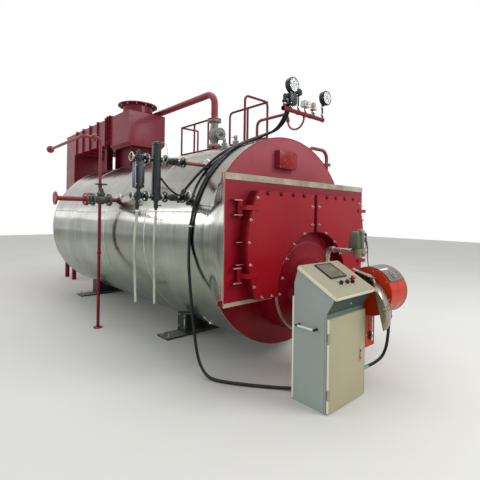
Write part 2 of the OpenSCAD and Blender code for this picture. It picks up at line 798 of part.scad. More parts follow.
module pressure_switches() {
    color("#3b4042") on_axis() {
        rod([branches[1], -manifold_out, manifold_z + branch_h],
            [branches[1], -manifold_out, contact_box[2] + EPS], 26);
        box(contact_box[0], contact_box[1], -manifold_out - 45, -manifold_out + 60,
            contact_box[2], contact_box[3]);
        rod([branches[3], -manifold_out, manifold_z + branch_h],
            [branches[3], -manifold_out, switch_box[2] + EPS], 22);
        box(switch_box[0], switch_box[1], -manifold_out - 30, -manifold_out + 30, switch_box[2], switch_box[3]);
        rod([branches[4], -manifold_out, manifold_z + branch_h], [branches[4], -manifold_out, pot_z[1]], 44);
        rod([branches[4], -manifold_out, pot_z[0] + 30], [branches[4], -manifold_out, pot_z[0] + 42], 74);
    }
}

// Flanged shut-off valve along X, from x0 to x1 on the left side, with a barrel body of diameter d
module line_valve(x0, x1, d, flange) {
    flange_t = 14;
    span = x1 - x0;
    waist = (span - 2 * flange_t) / 2;
    rotate([0, -90, 0]) translate([0, 0, x0]) rotate_extrude()
        polygon([[0, 0], [flange / 2, 0], [flange / 2, flange_t], [d / 2, flange_t],
                 [d / 2, flange_t + waist * 0.2],
                 [0.75 * d, flange_t + waist * 0.7], [0.75 * d, span - flange_t - waist * 0.7],
                 [d / 2, span - flange_t - waist * 0.2], [d / 2, span - flange_t],
                 [flange / 2, span - flange_t], [flange / 2, span], [0, span]]);
}

// Rods along -X from the middle of the boiler, at the gauges
module gauge_rod(x0, x1, d) {
    rotate([0, -90, 0]) translate([0, 0, x0]) cylinder(d = d, h = x1 - x0);
}
gauge_levels = [gauge_upper_z, gauge_lower_z];
gauge_valve_in = R - 40;
gauge_valve_out = column_x - 90;
gauge_valve_d = 50;
gauge_flange_d = 110;
socket_d = 44;
outer_socket_d = 34;
socket_sink = 4;
sensor_boss = [38, 0, 54];
sensor_inset = 42;
module gauge_pipes() {
    color("#8e1524") on_axis() on_shell() for (z = gauge_levels)
        translate([0, gauge_y, z]) gauge_rod(R / 2, gauge_valve_in, gauge_pipe_d);
}
module gauge_valves() {
    color("#20282a") on_axis() for (z = gauge_levels) translate([0, gauge_y, z]) {
        line_valve(gauge_valve_in, gauge_valve_out, gauge_valve_d, gauge_flange_d);
        gauge_rod(gauge_valve_out, column_x - column_d / 2 + socket_sink, socket_d);
        gauge_rod(column_x + column_d / 2 - socket_sink, glass_x - glass_d / 2 + socket_sink, socket_d);
        gauge_rod(glass_x + glass_d / 2 - socket_sink, glass_x + glass_d / 2 + 30, outer_socket_d);
    }
    color("#20282a") on_axis() translate([-gauge_valve_in - sensor_inset, gauge_y, gauge_lower_z])
        rod([0, 0, 0], sensor_boss, 40);
}
// Room for the sockets of a gauge valve in the wall at x, on either level
module gauge_socket(x, d) {
    for (z = gauge_levels) translate([0, gauge_y, z])
        gauge_rod(x - socket_sink - seat_gap, x + socket_sink + seat_gap, d + 2 * seat_gap);
}
column_z = [gauge_lower_z - 40, gauge_upper_z + 155];
module water_column() {
    color("#1f2a29") on_axis() difference() {
        translate([-column_x, gauge_y, column_z[0]]) cylinder(d = column_d, h = column_z[1] - column_z[0]);
        gauge_socket(column_x - column_d / 2, socket_d);
        gauge_socket(column_x + column_d / 2, socket_d);
    }
}
glass_z = [gauge_lower_z - 28, gauge_upper_z + 80];
module level_glass() {
    color("#1d2a4a") on_axis() difference() {
        translate([-glass_x, gauge_y, glass_z[0]]) cylinder(d = glass_d, h = glass_z[1] - glass_z[0]);
        gauge_socket(glass_x - glass_d / 2, socket_d);
        gauge_socket(glass_x + glass_d / 2, outer_socket_d);
    }
}
gauge_spindle_len = 36;
gauge_wheel_t = 12;
module gauge_handwheel(z) {
    translate([0, gauge_y, z]) {
        gauge_rod(glass_x + glass_d / 2 + 30 + seat_gap, glass_x + glass_d / 2 + 30 + gauge_spindle_len, 14);
        gauge_rod(glass_x + glass_d / 2 + 30 + gauge_spindle_len - gauge_wheel_t,
                  glass_x + glass_d / 2 + 30 + gauge_spindle_len, gauge_wheel_d);
    }
}
module upper_gauge_handwheel() { color("#20282a") on_axis() gauge_handwheel(gauge_upper_z); }
module lower_gauge_handwheel() { color("#20282a") on_axis() gauge_handwheel(gauge_lower_z); }
drain_d = 27;
drain_bottom = [-600, -550];
drain_cock_z = 330;
module gauge_drains() {
    tops = [column_z[0], glass_z[0]];
    at = [column_x, glass_x + 12];
    color("#b9c0b6") on_axis() for (k = [0, 1])
        translate([-at[k], gauge_y, 0]) {
            translate([0, 0, drain_bottom[k]]) cylinder(d = drain_d, h = tops[k] - seat_gap - drain_bottom[k]);
            translate([0, 0, drain_cock_z]) cylinder(d = 42, h = 44);
            translate([0, 0, drain_cock_z + 22]) rotate([90, 0, 0]) cylinder(d = 16, h = 60);
        }
}

feed_flange_t = 18;
feed_flange_x = R + feed_in;
feed_end_out = R + feed_end_x;
feed_globe_out = feed_flange_x + feed_globe_len;
feed_out = feed_globe_out + feed_check_len;
feed_spindle_x = feed_flange_x + feed_globe_len / 2;
bonnet_h = 150;
module feed_pipe() {
    color("#8e1524") on_axis() {
        on_shell() translate([0, feed_y, feed_z]) {
            gauge_rod(R - 250, feed_flange_x, feed_pipe_d);
            gauge_rod(feed_flange_x - feed_flange_t, feed_flange_x, feed_flange_d);
        }
        translate([0, feed_y, feed_z]) {
            gauge_rod(feed_out, feed_out + feed_flange_t, feed_flange_d);
            gauge_rod(feed_out, feed_end_out, feed_pipe_d);
            rotate([0, -90, 0]) translate([0, 0, feed_end_out - feed_flange_t]) difference() {
                cylinder(d = feed_flange_d, h = feed_flange_t);
                bolt_holes(feed_bolt_circle_d, 4, 18, feed_flange_t);
            }
        }
    }
}
module feed_valves() {
    color("#1f2625") on_axis() translate([0, feed_y, feed_z]) {
        line_valve(feed_flange_x, feed_globe_out, 84, feed_flange_d);
        line_valve(feed_globe_out, feed_out, 90, feed_flange_d);
        translate([-feed_spindle_x, 0, 0]) cylinder(d = 50, h = bonnet_h);
        translate([-feed_spindle_x, 0, 58]) cylinder(d = 110, h = 34);
    }
}
feed_wheel_t = 14;
feed_spindle_len = 70;
module feed_handwheel() {
    color("#1f2625") on_axis() translate([-feed_spindle_x, feed_y, feed_z + bonnet_h + seat_gap]) {
        cylinder(d = 18, h = feed_spindle_len);
        translate([0, 0, feed_spindle_len - feed_wheel_t - 8]) difference() {
            cylinder(d = feed_wheel_d, h = feed_wheel_t);
            bolt_holes(feed_wheel_d / 2 + 6, 4, feed_wheel_d / 4, feed_wheel_t);
        }
    }
}

stand_y = feed_y + stand_behind_feed;
stand_out = R + stand_x;
vent_run_out = R + vent_run_x;
stand_foot_d = 120;
vent_end_clear = 600;
stand_flange_d = 115;
vent_run_end = 3800;
module standpipe() {
    bend = 60;
    top = stand_z - bend;
    run_end = min(vent_run_end, shell_len - vent_end_clear);
    color("#8e1524") on_axis() {
        rod([-stand_out, stand_y, -axis_height], [-stand_out, stand_y, top], stand_d);
        translate([-stand_out, stand_y, -axis_height]) cylinder(d = stand_foot_d, h = 12);
        bend_xz([-stand_out - bend, stand_y, top], bend, stand_d, 0, 90);
        rod([-stand_out - bend, stand_y, stand_z], [-vent_run_out + bend, stand_y, stand_z], stand_d);
        rod([-stand_out - bend - 18, stand_y, stand_z], [-stand_out - bend - 48, stand_y, stand_z],
            stand_flange_d);
        translate([-vent_run_out + bend, stand_y + bend, stand_z]) rotate([0, 0, 180])
            rotate_extrude(angle = 90) translate([bend, 0]) circle(d = stand_d);
        rod([-vent_run_out, stand_y + bend, stand_z], [-vent_run_out, run_end, stand_z], stand_d);
        rod([-vent_run_out, run_end - 16, stand_z], [-vent_run_out, run_end, stand_z], stand_flange_d);
        on_shell() for (z = [230, -560])
            box(-stand_out, 0, stand_y - 6, stand_y + 6, z, z + 40);
    }
}

throat_front = mouth_front - throat_len;
head_flange_d = 440;
head_d = 300;
head_len = 150;
module burner_head() {
    color("#5b5f5e") on_axis() translate([0, throat_front, -furnace_drop]) rotate([90, 0, 0]) {
        cylinder(d = head_flange_d, h = 16);
        cylinder(d = head_d, h = head_len);
    }
}
drum_x0 = 30;
neck_box = [30, 270, -645, -275];
lower_body = [-100, 200, -970, -700, -970, -550];
module drum(grow = 0) {
    translate([drum_x0 - grow, -drum_out, -drum_drop]) rotate([0, 90, 0])
        cylinder(d = drum_d + 2 * grow, h = drum_len + 2 * grow);
}
gland_at = [205, -1120, -590];
gland_len = 61;
module burner_body() {
    arch_r = (lower_body[3] - lower_body[2]) / 2;
    color("#c2401f") on_axis() {
        drum();
        translate(gland_at - [0, 0, gland_len]) cylinder(d = 44, h = gland_len);
        box(neck_box[0], neck_box[1], -drum_out + 25, throat_front - head_len, neck_box[2], neck_box[3]);
        side_slab(lower_body[0], lower_body[1] - lower_body[0]) {
            translate([lower_body[2], lower_body[4]])
                square([2 * arch_r, lower_body[5] - arch_r - lower_body[4]]);
            translate([lower_body[2] + arch_r, lower_body[5] - arch_r]) circle(r = arch_r);
        }
    }
}
scoop_at = [0, -1120, -540];
scoop_tilt = 78;
scoop_turn = -61;
scoop_steps = 7;
scoop_rim = 8;
scoop_left = -140;
// Shallow dome beside the drum
module burner_fan_housing() {
    color("#a9aaa6") on_axis() difference() {
        intersection() {
            translate(scoop_at) rotate([0, scoop_tilt, scoop_turn]) rotate_extrude()
                polygon(concat([[0, -scoop_rim]], [[scoop_d / 2, -scoop_rim]],
                    [for (k = [0 : scoop_steps - 1]) let (a = 90 * k / scoop_steps)
                        [scoop_d / 2 * cos(a), scoop_h * sin(a)]], [[0, scoop_h]]));
            translate([scoop_left, -2 * drum_out, -2 * drum_out]) cube(4 * drum_out);
        }
        drum(seat_gap);
        translate(gland_at - [0, 0, 2 * gland_len]) cylinder(d = 60, h = 3 * gland_len);
    }
}
top_plate_t = 12;
top_plate_span = [47, 150];
module burner_top_plate() {
    r = drum_d / 2;
    reach = 2 * r;
    color("#8a8f8c") on_axis() side_slab(drum_x0 + 15, drum_len - 30) translate([-drum_out, -drum_drop])
        difference() {
            intersection() {
                circle(r = r + top_plate_t);
                polygon([[0, 0], for (a = [top_plate_span[0], 90, top_plate_span[1]])
                    reach * [cos(a), sin(a)]]);
            }
            circle(r = r + seat_gap);
        }
}
gas_leg_y = -590;
gas_bend = 70;
gas_end_y = -830;
gas_valve = [-60, 60, -960, -830, -110, 160];
module gas_train() {
    z = -gas_drop;
    color("#b7bab6") on_axis() {
        difference() {
            rod([0, gas_leg_y, -furnace_drop], [0, gas_leg_y, z - gas_bend], gas_pipe_d);
            translate([0, throat_front, -furnace_drop]) rotate([90, 0, 0])
                cylinder(d = head_d + 2 * seat_gap, h = head_len + EPS);
        }
        bend_yz([0, gas_leg_y - gas_bend, z - gas_bend], gas_bend, gas_pipe_d, 0, 90);
        rod([0, gas_leg_y - gas_bend, z], [0, gas_end_y - EPS, z], gas_pipe_d);
        rod([0, -700, z], [0, -745, z], gas_pipe_d + 28);
        box(gas_valve[0], gas_valve[1], gas_valve[2], gas_valve[3], gas_valve[4], gas_valve[5]);
        rod([0, gas_valve[2] + EPS, z], [0, gas_valve[2] - 16, z], 100);
    }
}

desk_floor = -axis_height;
desk_right_x = desk_left_x - desk_w;
desk_back_out = desk_front_out - desk_depth;
lid_side = 16;
lid_back_y = -desk_back_out - 55;
lid_front_y = -desk_front_out - 108;
lid_drop = desk_back_h - desk_front_h;
desk_slope = atan2(lid_drop, lid_back_y - lid_front_y);
lid_len = norm([lid_drop, lid_back_y - lid_front_y]);
neck_z = desk_floor + 795;
lip_z = desk_floor + 905;
lip_out = 63;
chamfer_z = desk_floor + 1005;
chamfer_in = 37;
// Height of the desk body under its lid at a place along the boiler
function under_lid(y, inset) = desk_floor + desk_front_h + (y - lid_front_y) * tan(desk_slope)
    - (lid_t + seat_gap + inset) / cos(desk_slope);
module desk_profile(inset = 0) {
    back = -desk_back_out - inset;
    front = -desk_front_out + inset;
    lip = front - lip_out;
    top_back = back - chamfer_in;
    polygon([[back, desk_floor + inset], [front, desk_floor + inset], [front, neck_z], [lip, lip_z],
             [lip, under_lid(lip, inset)], [top_back, under_lid(top_back, inset)], [back, chamfer_z]]);
}
desk_hinge_levels = [desk_floor + 155, desk_floor + 605];
desk_leaf_gap = 5;
desk_leaf_top = desk_floor + 760;
desk_leaf_floor_gap = 10;
desk_leaf_y = -desk_front_out - desk_leaf_gap;
desk_pin_x = -desk_left_x + 8;
desk_pin_y = desk_leaf_y - desk_leaf_t / 2;
desk_pin_d = 8;
desk_sleeve_d = 16;
desk_sleeve_half = 33;
desk_lug_t = 6;
side_handle = [-960, -780, desk_floor + 657];
module desk_body() {
    lug_z = desk_sleeve_half + 1;
    opening = [-desk_left_x + desk_sheet, -desk_right_x - desk_sheet];
    color("#7f8f96") on_axis() {
        difference() {
            side_slab(-desk_left_x, desk_w) desk_profile();
            side_slab(opening[0], opening[1] - opening[0]) desk_profile(desk_sheet);
            box(opening[0], opening[1], -desk_front_out - EPS, -desk_front_out + desk_sheet + EPS,
                desk_floor + 40, desk_leaf_top - 40);
        }
        for (z = desk_hinge_levels) {
            translate([desk_pin_x, desk_pin_y, z - lug_z - desk_lug_t])
                cylinder(d = desk_pin_d, h = 2 * (lug_z + desk_lug_t));
            for (edge = [-lug_z - desk_lug_t, lug_z])
                box(-desk_left_x, desk_pin_x + 8, desk_pin_y - 7, -desk_front_out + EPS,
                    z + edge, z + edge + desk_lug_t);
        }
        for (y = [side_handle[0], side_handle[1]])
            rod([-desk_left_x + EPS, y, side_handle[2]], [-desk_left_x - 45, y, side_handle[2]], 14);
        rod([-desk_left_x - 38, side_handle[0] - 7, side_handle[2]],
            [-desk_left_x - 38, side_handle[1] + 7, side_handle[2]], 14);
    }
}
back_panel_top = desk_floor + 885;
module desk_back_panel() {
    color("#dcd9bb") on_axis()
        box(-desk_left_x, -desk_right_x, -desk_back_out, -desk_back_out + desk_leaf_t,
            desk_floor + desk_leaf_floor_gap, back_panel_top);
}
module desk_door() {
    notch = desk_sleeve_half + desk_lug_t + 3;
    color("#d8d5b4") on_axis() difference() {
        union() {
            difference() {
                box(-desk_left_x + 2, -desk_right_x, desk_leaf_y - desk_leaf_t, desk_leaf_y,
                    desk_floor + desk_leaf_floor_gap, desk_leaf_top);
                for (z = desk_hinge_levels)
                    box(-desk_left_x, desk_pin_x + desk_pin_d + 3, desk_leaf_y - desk_leaf_t - EPS,
                        desk_leaf_y + EPS, z - notch, z + notch);
            }
            for (z = desk_hinge_levels) {
                translate([desk_pin_x, desk_pin_y, z - desk_sleeve_half])
                    cylinder(d = desk_sleeve_d, h = 2 * desk_sleeve_half);
                box(desk_pin_x, desk_pin_x + 14, desk_pin_y - 6, desk_pin_y + 6,
                    z - desk_sleeve_half, z + desk_sleeve_half);
            }
        }
        for (z = desk_hinge_levels) translate([desk_pin_x, desk_pin_y, z - notch])
            cylinder(d = desk_pin_d + 0.6, h = 2 * notch);
    }
}
// Places on the lid: across from its left edge, and down the slope from its back edge
module on_lid(across, down) {
    translate([-desk_left_x - lid_side, lid_back_y, desk_floor + desk_back_h]) rotate([desk_slope, 0, 0])
        translate([across, -down, 0]) children();
}
module desk_top() {
    color("#a9a48c") on_axis() on_lid(0, lid_len) translate([0, 0, -lid_t])
        cube([desk_w + 2 * lid_side, lid_len, lid_t]);
}
screen_at = [181, 228];
screen_size = [240, 199, 8];
switches_at = [[225, 302], [316, 304], [378, 316]];
knob_at = [440, 277];
module desk_controls() {
    color("#2b2f2c") on_axis() {
        on_lid(screen_at[0], screen_at[1]) cube(screen_size);
        for (s = switches_at) on_lid(s[0], s[1]) cylinder(d = 34, h = 16);
    }
    color("#a01418") on_axis() on_lid(knob_at[0], knob_at[1]) {
        cylinder(d = 24, h = 20);
        translate([0, 0, 19]) cylinder(d = 42, h = 14);
    }
}

// Routes of the flexible lines in millimetres, in the boiler's own frame
cable_sides = 10;
cable_steps = 3;
hug = 3;
// Place on the cladding at an angle above the left horizontal
function on_cladding(a, y, d) = let (r = R + d / 2 + hug) [-r * cos(a), y, r * sin(a)];
function route_point(p, i) = p[max(0, min(len(p) - 1, i))];
function on_curve(p, i, s) = let (a = route_point(p, i - 1), b = route_point(p, i),
                                  c = route_point(p, i + 1), d = route_point(p, i + 2))
    b + 0.5 * s * (c - a + s * (2 * a - 5 * b + 4 * c - d + s * (3 * (b - c) + d - a)));
function smooth(p) = concat(
    [for (i = [0 : len(p) - 2], k = [0 : cable_steps - 1]) on_curve(p, i, k / cable_steps)], [p[len(p) - 1]]);
function unit(v) = v / norm(v);
function heading(p, i) = unit(route_point(p, i + 1) - route_point(p, i - 1));
// Two cross directions at each ring, carried along the route without twist
function frames(p, i, u) = i == len(p) ? []
    : let (t = heading(p, i), v = unit(u - (u * t) * t)) concat([[v, cross(t, v)]], frames(p, i + 1, v));
module tube(route, d) {
    path = smooth(route);
    rings = len(path);
    n = cable_sides;
    f = frames(path, 0, [1, 0.2, 0.1]);
    polyhedron(
        points = [for (i = [0 : rings - 1], k = [0 : n - 1])
            path[i] + d / 2 * (cos(360 * k / n) * f[i][0] + sin(360 * k / n) * f[i][1])],
        faces = concat([[for (k = [0 : n - 1]) k]],
            [[for (k = [n - 1 : -1 : 0]) (rings - 1) * n + k]],
            [for (i = [0 : rings - 2], k = [0 : n - 1], half = [0, 1]) let (j = (k + 1) % n)
                half == 0 ? [i * n + k, (i + 1) * n + k, (i + 1) * n + j]
                          : [i * n + k, (i + 1) * n + j, i * n + j]]));
}

cladding_cable_d = 30;
cladding_route = concat(
    [[-212, -188, 1431], [-212, -188, 1388], [-203, -158, 1342], [-186, -100, 1290], [-170, -25, 1250],
     [-165, 60, 1222], [-195, 155, 1198], [-275, 225, 1158], [-370, 258, 1116]],
    [for (k = [[66, 272], [60, 290], [54, 318], [48, 350], [42, 378]])
        on_cladding(k[0], k[1], cladding_cable_d)],
    [[-955, 404, 690], [-1036, 426, 592], [-1090, 438, 524], [-1111, 440, 498]]);
module cladding_conduit() { color("#141414") on_axis() tube(cladding_route, cladding_cable_d); }

control_route = concat(
    [[-250, -188, 1431], [-250, -188, 1388], [-242, -158, 1338], [-226, -100, 1284], [-210, -30, 1240],
     [-205, 50, 1206], [-235, 122, 1180], [-310, 180, 1136]],
    [for (k = [[69, 214], for (a = [62 : -7 : -1]) [a, 230]]) on_cladding(k[0], k[1], cable_d)],
    [[-1180, 215, -200], [-1165, 205, -450], [-1130, 200, -760], [-1095, 190, -1030], [-1075, 150, -1180],
     [-1062, 50, -1266], [-1020, -60, -1287], [-905, -250, -1287], [-750, -450, -1287], [-655, -570, -1284],
     [-612, -645, -1272], [-600, -697, -1264]]);
module control_cable() { color("#141414") on_axis() tube(control_route, cable_d); }

burner_route = [[205, -1120, -654], [205, -1120, -700], [194, -1120, -765], [178, -1120, -858],
                [166, -1110, -955], [140, -1085, -1040], [82, -1050, -1092], [20, -1010, -1125],
                [-60, -975, -1150], [-120, -955, -1160], [-159, -945, -1165]];
module burner_cable() { color("#141414") on_axis() tube(burner_route, burner_cable_d); }

front_saddle();
rear_saddle();
shell();
front_tube_plate();
rear_plate();
smokebox();
smokebox_front();
cover_strips();
door_frame();
left_door();
right_door();
hinge_brackets();
furnace_mouth();
nameplate_box();
flue_riser();
flue_duct();
expansion_joint();
chimney_box();
chimney_neck();
duct_support();
steam_valve();
steam_pipe();
safety_valves();
vent_pipe();
guard_rail();
manifold_support();
gauge_manifold();
pressure_gauges();
pressure_switches();
gauge_pipes();
gauge_valves();
water_column();
level_glass();
upper_gauge_handwheel();
lower_gauge_handwheel();
gauge_drains();
feed_pipe();
feed_valves();
feed_handwheel();
standpipe();
burner_head();
burner_body();
burner_fan_housing();
burner_top_plate();
gas_train();
burner_cable();
desk_body();
desk_back_panel();
desk_door();
desk_top();
desk_controls();
cladding_conduit();
control_cable();
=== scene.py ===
import bpy, bmesh, random
from math import cos, degrees, hypot, pi, radians, sin, sqrt
from mathutils import Vector, Matrix


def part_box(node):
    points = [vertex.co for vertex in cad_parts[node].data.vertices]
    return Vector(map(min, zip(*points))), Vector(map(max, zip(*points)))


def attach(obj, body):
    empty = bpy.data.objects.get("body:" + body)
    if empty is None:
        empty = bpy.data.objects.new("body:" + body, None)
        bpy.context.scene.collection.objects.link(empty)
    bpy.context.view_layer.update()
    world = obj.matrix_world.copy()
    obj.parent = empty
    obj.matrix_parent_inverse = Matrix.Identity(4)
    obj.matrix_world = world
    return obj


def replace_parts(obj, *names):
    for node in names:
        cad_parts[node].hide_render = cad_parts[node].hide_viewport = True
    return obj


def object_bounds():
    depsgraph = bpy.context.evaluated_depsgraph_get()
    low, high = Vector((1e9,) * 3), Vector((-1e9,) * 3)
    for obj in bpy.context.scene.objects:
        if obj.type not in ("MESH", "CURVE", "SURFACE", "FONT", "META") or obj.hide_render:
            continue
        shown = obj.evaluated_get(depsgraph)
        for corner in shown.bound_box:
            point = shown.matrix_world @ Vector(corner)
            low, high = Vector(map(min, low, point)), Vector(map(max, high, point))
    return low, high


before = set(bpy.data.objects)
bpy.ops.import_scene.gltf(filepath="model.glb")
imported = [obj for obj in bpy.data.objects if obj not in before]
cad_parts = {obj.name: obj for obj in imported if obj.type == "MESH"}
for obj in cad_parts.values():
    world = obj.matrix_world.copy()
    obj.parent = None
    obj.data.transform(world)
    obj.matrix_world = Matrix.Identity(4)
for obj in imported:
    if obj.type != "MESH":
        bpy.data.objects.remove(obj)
cad_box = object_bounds()

# Everything below is written in metres in the boiler's own frame: origin on the shell axis at the
# front end plate, x right, y to the rear, z up. AT moves it into the frame of the part.
AT = Vector((0, -1.35, 1.305))
R = 1.15
AX = -.475  # height of the axis of the furnace and the burner's head
SEAMS, SADDLES = (1.21, 2.42, 3.63), (1.35, 4.43)  # along the shell
COCKS = .8, .44  # heights of the two gauge cocks
UP, DOWN, FORE, AFT, LEFT, RIGHT = (0, 0, 1), (0, 0, -1), (0, -1, 0), (0, 1, 0), (-1, 0, 0), (1, 0, 0)
DIAGONALS = [pi / 4 + pi / 2 * k for k in range(4)]
RIVET = [(.0048, 0), (.0042, .0012), (.0022, .002)]

def V(x, y, z):
    return Vector((x, y, z))

def srgb(r, g, b):
    f = lambda c: c / 12.92 if c <= .04045 else ((c + .055) / 1.055) ** 2.4
    return (f(r / 255), f(g / 255), f(b / 255), 1)

# ---------------------------------------------------------------- camera, at the photograph's place
yaw, pitch, roll = radians(42.027), radians(.0975), radians(.841)
ahead = V(sin(yaw) * cos(pitch), cos(yaw) * cos(pitch), sin(pitch))
right = V(cos(yaw), -sin(yaw), 0)
up = right.cross(ahead)
right, up = (cos(roll) * right + sin(roll) * up, cos(roll) * up - sin(roll) * right)
cam = bpy.data.cameras.new("camera")
cam.sensor_width = 36
cam.lens = 27.34
cam.shift_y = -26 / 480
cam.clip_end = 200
eye = bpy.data.objects.new("camera", cam)
bpy.context.collection.objects.link(eye)
m = Matrix((right, up, -ahead)).transposed().to_4x4()
m.translation = V(-3.1806, -2.7353, .277) + AT
eye.matrix_world = m
bpy.context.scene.camera = eye
bpy.context.scene.view_settings.view_transform = "Standard"

# ---------------------------------------------------------------- mesh code
def frame_of(axis):
    """Three directions, the last along axis."""
    w = Vector(axis).normalized()
    u = w.orthogonal().normalized() if abs(w.z) > .99 else V(0, 0, 1).cross(w).normalized()
    return u, w.cross(u), w

def rim(r, wide, h, edge):
    """Turned profile of a nut or collar: r at both ends, wide between its two edges."""
    return [(r, 0), (wide, edge), (wide, h - edge), (r, h)]

class Piece:
    def __init__(self, name, body="boiler"):
        self.name, self.body, self.v, self.f, self.m, self.mats, self.now = name, body, [], [], [], [], 0

    def paint(self, material):
        if material not in self.mats:
            self.mats.append(material)
        self.now = self.mats.index(material)
        return self

    def add(self, verts, faces):
        n = len(self.v)
        self.v += [Vector(q) for q in verts]
        self.f += [[n + i for i in f] for f in faces]
        self.m += [self.now] * len(faces)

    def skin(self, rings):
        """Wall through rings of points, closed at its first ring and its last."""
        n, m = len(rings[0]), len(rings)
        faces = [[i * n + k, i * n + (k + 1) % n, (i + 1) * n + (k + 1) % n, (i + 1) * n + k]
                 for i in range(m - 1) for k in range(n)]
        faces += [list(range(n - 1, -1, -1)), [(m - 1) * n + k for k in range(n)]]
        self.add([q for ring in rings for q in ring], faces)

    def lathe(self, at, axis, profile, n=20, turn=.0):
        """Turned shape: profile is (radius, height) from its foot to its tip."""
        u, v, w = frame_of(axis)
        at, angles = Vector(at), [2 * pi * k / n + turn for k in range(n)]
        self.skin([[at + w * h + (u * cos(a) + v * sin(a)) * r for a in angles] for r, h in profile])

    def rod(self, p, q, r, n):
        p, q = Vector(p), Vector(q)
        self.lathe(p, q - p, [(r, 0), (r, (q - p).length)], n)

    def block(self, x0, x1, y0, y1, z0, z1, c=.0, turn=None):
        """Box with chamfered edges; turn is a matrix applied about its middle."""
        mid = V((x0 + x1) / 2, (y0 + y1) / 2, (z0 + z1) / 2)
        h = (x1 - x0) / 2, (y1 - y0) / 2, (z1 - z0) / 2
        c = min(c, *[q * .9 for q in h])
        bm = bmesh.new()
        bmesh.ops.create_cube(bm, size=2)
        for q in bm.verts:
            q.co = V(q.co.x * h[0], q.co.y * h[1], q.co.z * h[2])
        if c > 0:
            bmesh.ops.bevel(bm, geom=bm.edges[:], offset=c, segments=2, profile=.5, affect="EDGES")
        bm.verts.index_update()
        verts = [mid + ((turn @ q.co) if turn else q.co) for q in bm.verts]
        self.add(verts, [[q.index for q in f.verts] for f in bm.faces])
        bm.free()

    def sweep(self, points, r, n):
        """Tube along points."""
        pts = [Vector(p) for p in points]
        u, rings = None, []
        for i, p in enumerate(pts):
            t = (pts[min(i + 1, len(pts) - 1)] - pts[max(i - 1, 0)]).normalized()
            u = (frame_of(t)[0] if u is None else u - t * u.dot(t)).normalized()
            w = t.cross(u)
            rings.append([p + (u * cos(a) + w * sin(a)) * r for a in [2 * pi * k / n for k in range(n)]])
        self.skin(rings)

    def bolt(self, p, axis, d, stud=0, washer=True, turn=0):
        """Hexagon head or nut of a bolt of diameter d, with its washer, and the stud's end if it shows."""
        p, w, h, z = Vector(p), Vector(axis).normalized(), .65 * d, 0
        if washer:
            self.lathe(p, axis, [(1.05 * d, 0), (1.05 * d, .14 * d), (.98 * d, .18 * d)], 16)
            z = .18 * d
        self.lathe(p + w * z, axis, [(.87 * d, 0), (.87 * d, h * .82), (.74 * d, h)], 6, turn)
        if stud:
            self.lathe(p + w * (z + h), axis, [(.48 * d, 0), (.48 * d, stud * .8), (.38 * d, stud)], 10)

    def done(self, slot=None, angle=35):
        mesh = bpy.data.meshes.new(self.name)
        lo, hi = cad_box
        inside = [[min(max(c, lo[k]), hi[k]) for k, c in enumerate(q + AT)] for q in self.v]
        mesh.from_pydata(inside, [], self.f)
        for material in self.mats:
            mesh.materials.append(material)
        mesh.polygons.foreach_set("material_index", self.m)
        mesh.polygons.foreach_set("use_smooth", [True] * len(self.f))
        mesh.update()
        mesh.set_sharp_from_angle(angle=radians(angle))
        o = bpy.data.objects.new(self.name, mesh)
        bpy.context.collection.objects.link(o)
        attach(o, self.body)
        return o

def ring_of(points, at):
    return [Vector(at) + Vector(q) for q in points]

def rounded(hx, hy, r, n=5):
    """Rounded rectangle in the XY plane."""
    out = []
    for cx, cy, a0 in ((hx - r, hy - r, 0), (-hx + r, hy - r, 90), (-hx + r, -hy + r, 180), (hx - r, -hy + r, 270)):
        for k in range(n + 1):
            a = radians(a0 + 90 * k / n)
            out.append((cx + r * cos(a), cy + r * sin(a), 0))
    return out

# ---------------------------------------------------------------- the flexible lines
def curve_through(points, steps):
    p = [Vector(q) for q in points]
    g = lambda i: p[max(0, min(len(p) - 1, i))]
    out = []
    for i in range(len(p) - 1):
        for k in range(steps):
            s, a, b, c, d = k / steps, g(i - 1), g(i), g(i + 1), g(i + 2)
            out.append(b + .5 * s * (c - a + s * (2 * a - 5 * b + 4 * c - d + s * (3 * (b - c) + d - a))))
    return out + [p[-1]]

def on_cladding(angle, y, d):
    r, a = R + d / 2 + .003, radians(angle)
    return V(-r * cos(a), y, r * sin(a))

# ---------------------------------------------------------------- materials
class Nodes:
    def __init__(self, name):
        self.mat = bpy.data.materials.new(name)
        self.mat.use_nodes = True
        self.t = self.mat.node_tree
        self.out = self.t.nodes["Principled BSDF"]
        self.co = self.t.nodes.new("ShaderNodeTexCoord").outputs["Object"]

    def node(self, kind, ins=None, **props):
        n = self.t.nodes.new(kind)
        for k, q in props.items():
            setattr(n, k, q)
        for k, q in (ins or {}).items():
            s = n.inputs[k]
            if isinstance(q, bpy.types.NodeSocket):
                self.t.links.new(q, s)
            else:
                s.default_value = q
        return n

    def link(self, a, b):
        self.t.links.new(a, b)

    def scaled(self, s):
        return self.node("ShaderNodeMapping", {"Vector": self.co, "Scale": s}).outputs[0]

    def noise(self, scale, detail=3, stretch=None, rough=.5):
        co = self.scaled(stretch) if stretch else self.co
        return self.node("ShaderNodeTexNoise", {"Vector": co, "Scale": scale, "Detail": detail,
                                                "Roughness": rough}).outputs["Fac"]

    def ramp(self, fac, a, b, lo=.0, hi=1):
        return self.node("ShaderNodeMapRange", {"Value": fac, "From Min": a, "From Max": b, "To Min": lo,
                                                "To Max": hi}).outputs[0]

    def math(self, op, a, b=.0):
        return self.node("ShaderNodeMath", {0: a, 1: b}, operation=op).outputs[0]

    def mix(self, fac, a, b):
        return self.node("ShaderNodeMix", {0: fac, 6: a, 7: b}, data_type="RGBA").outputs[2]

    def height(self):
        return self.node("ShaderNodeSeparateXYZ", {0: self.co}).outputs[2]

    def up(self):
        n = self.node("ShaderNodeNewGeometry").outputs["Normal"]
        return self.node("ShaderNodeSeparateXYZ", {0: n}).outputs[2]

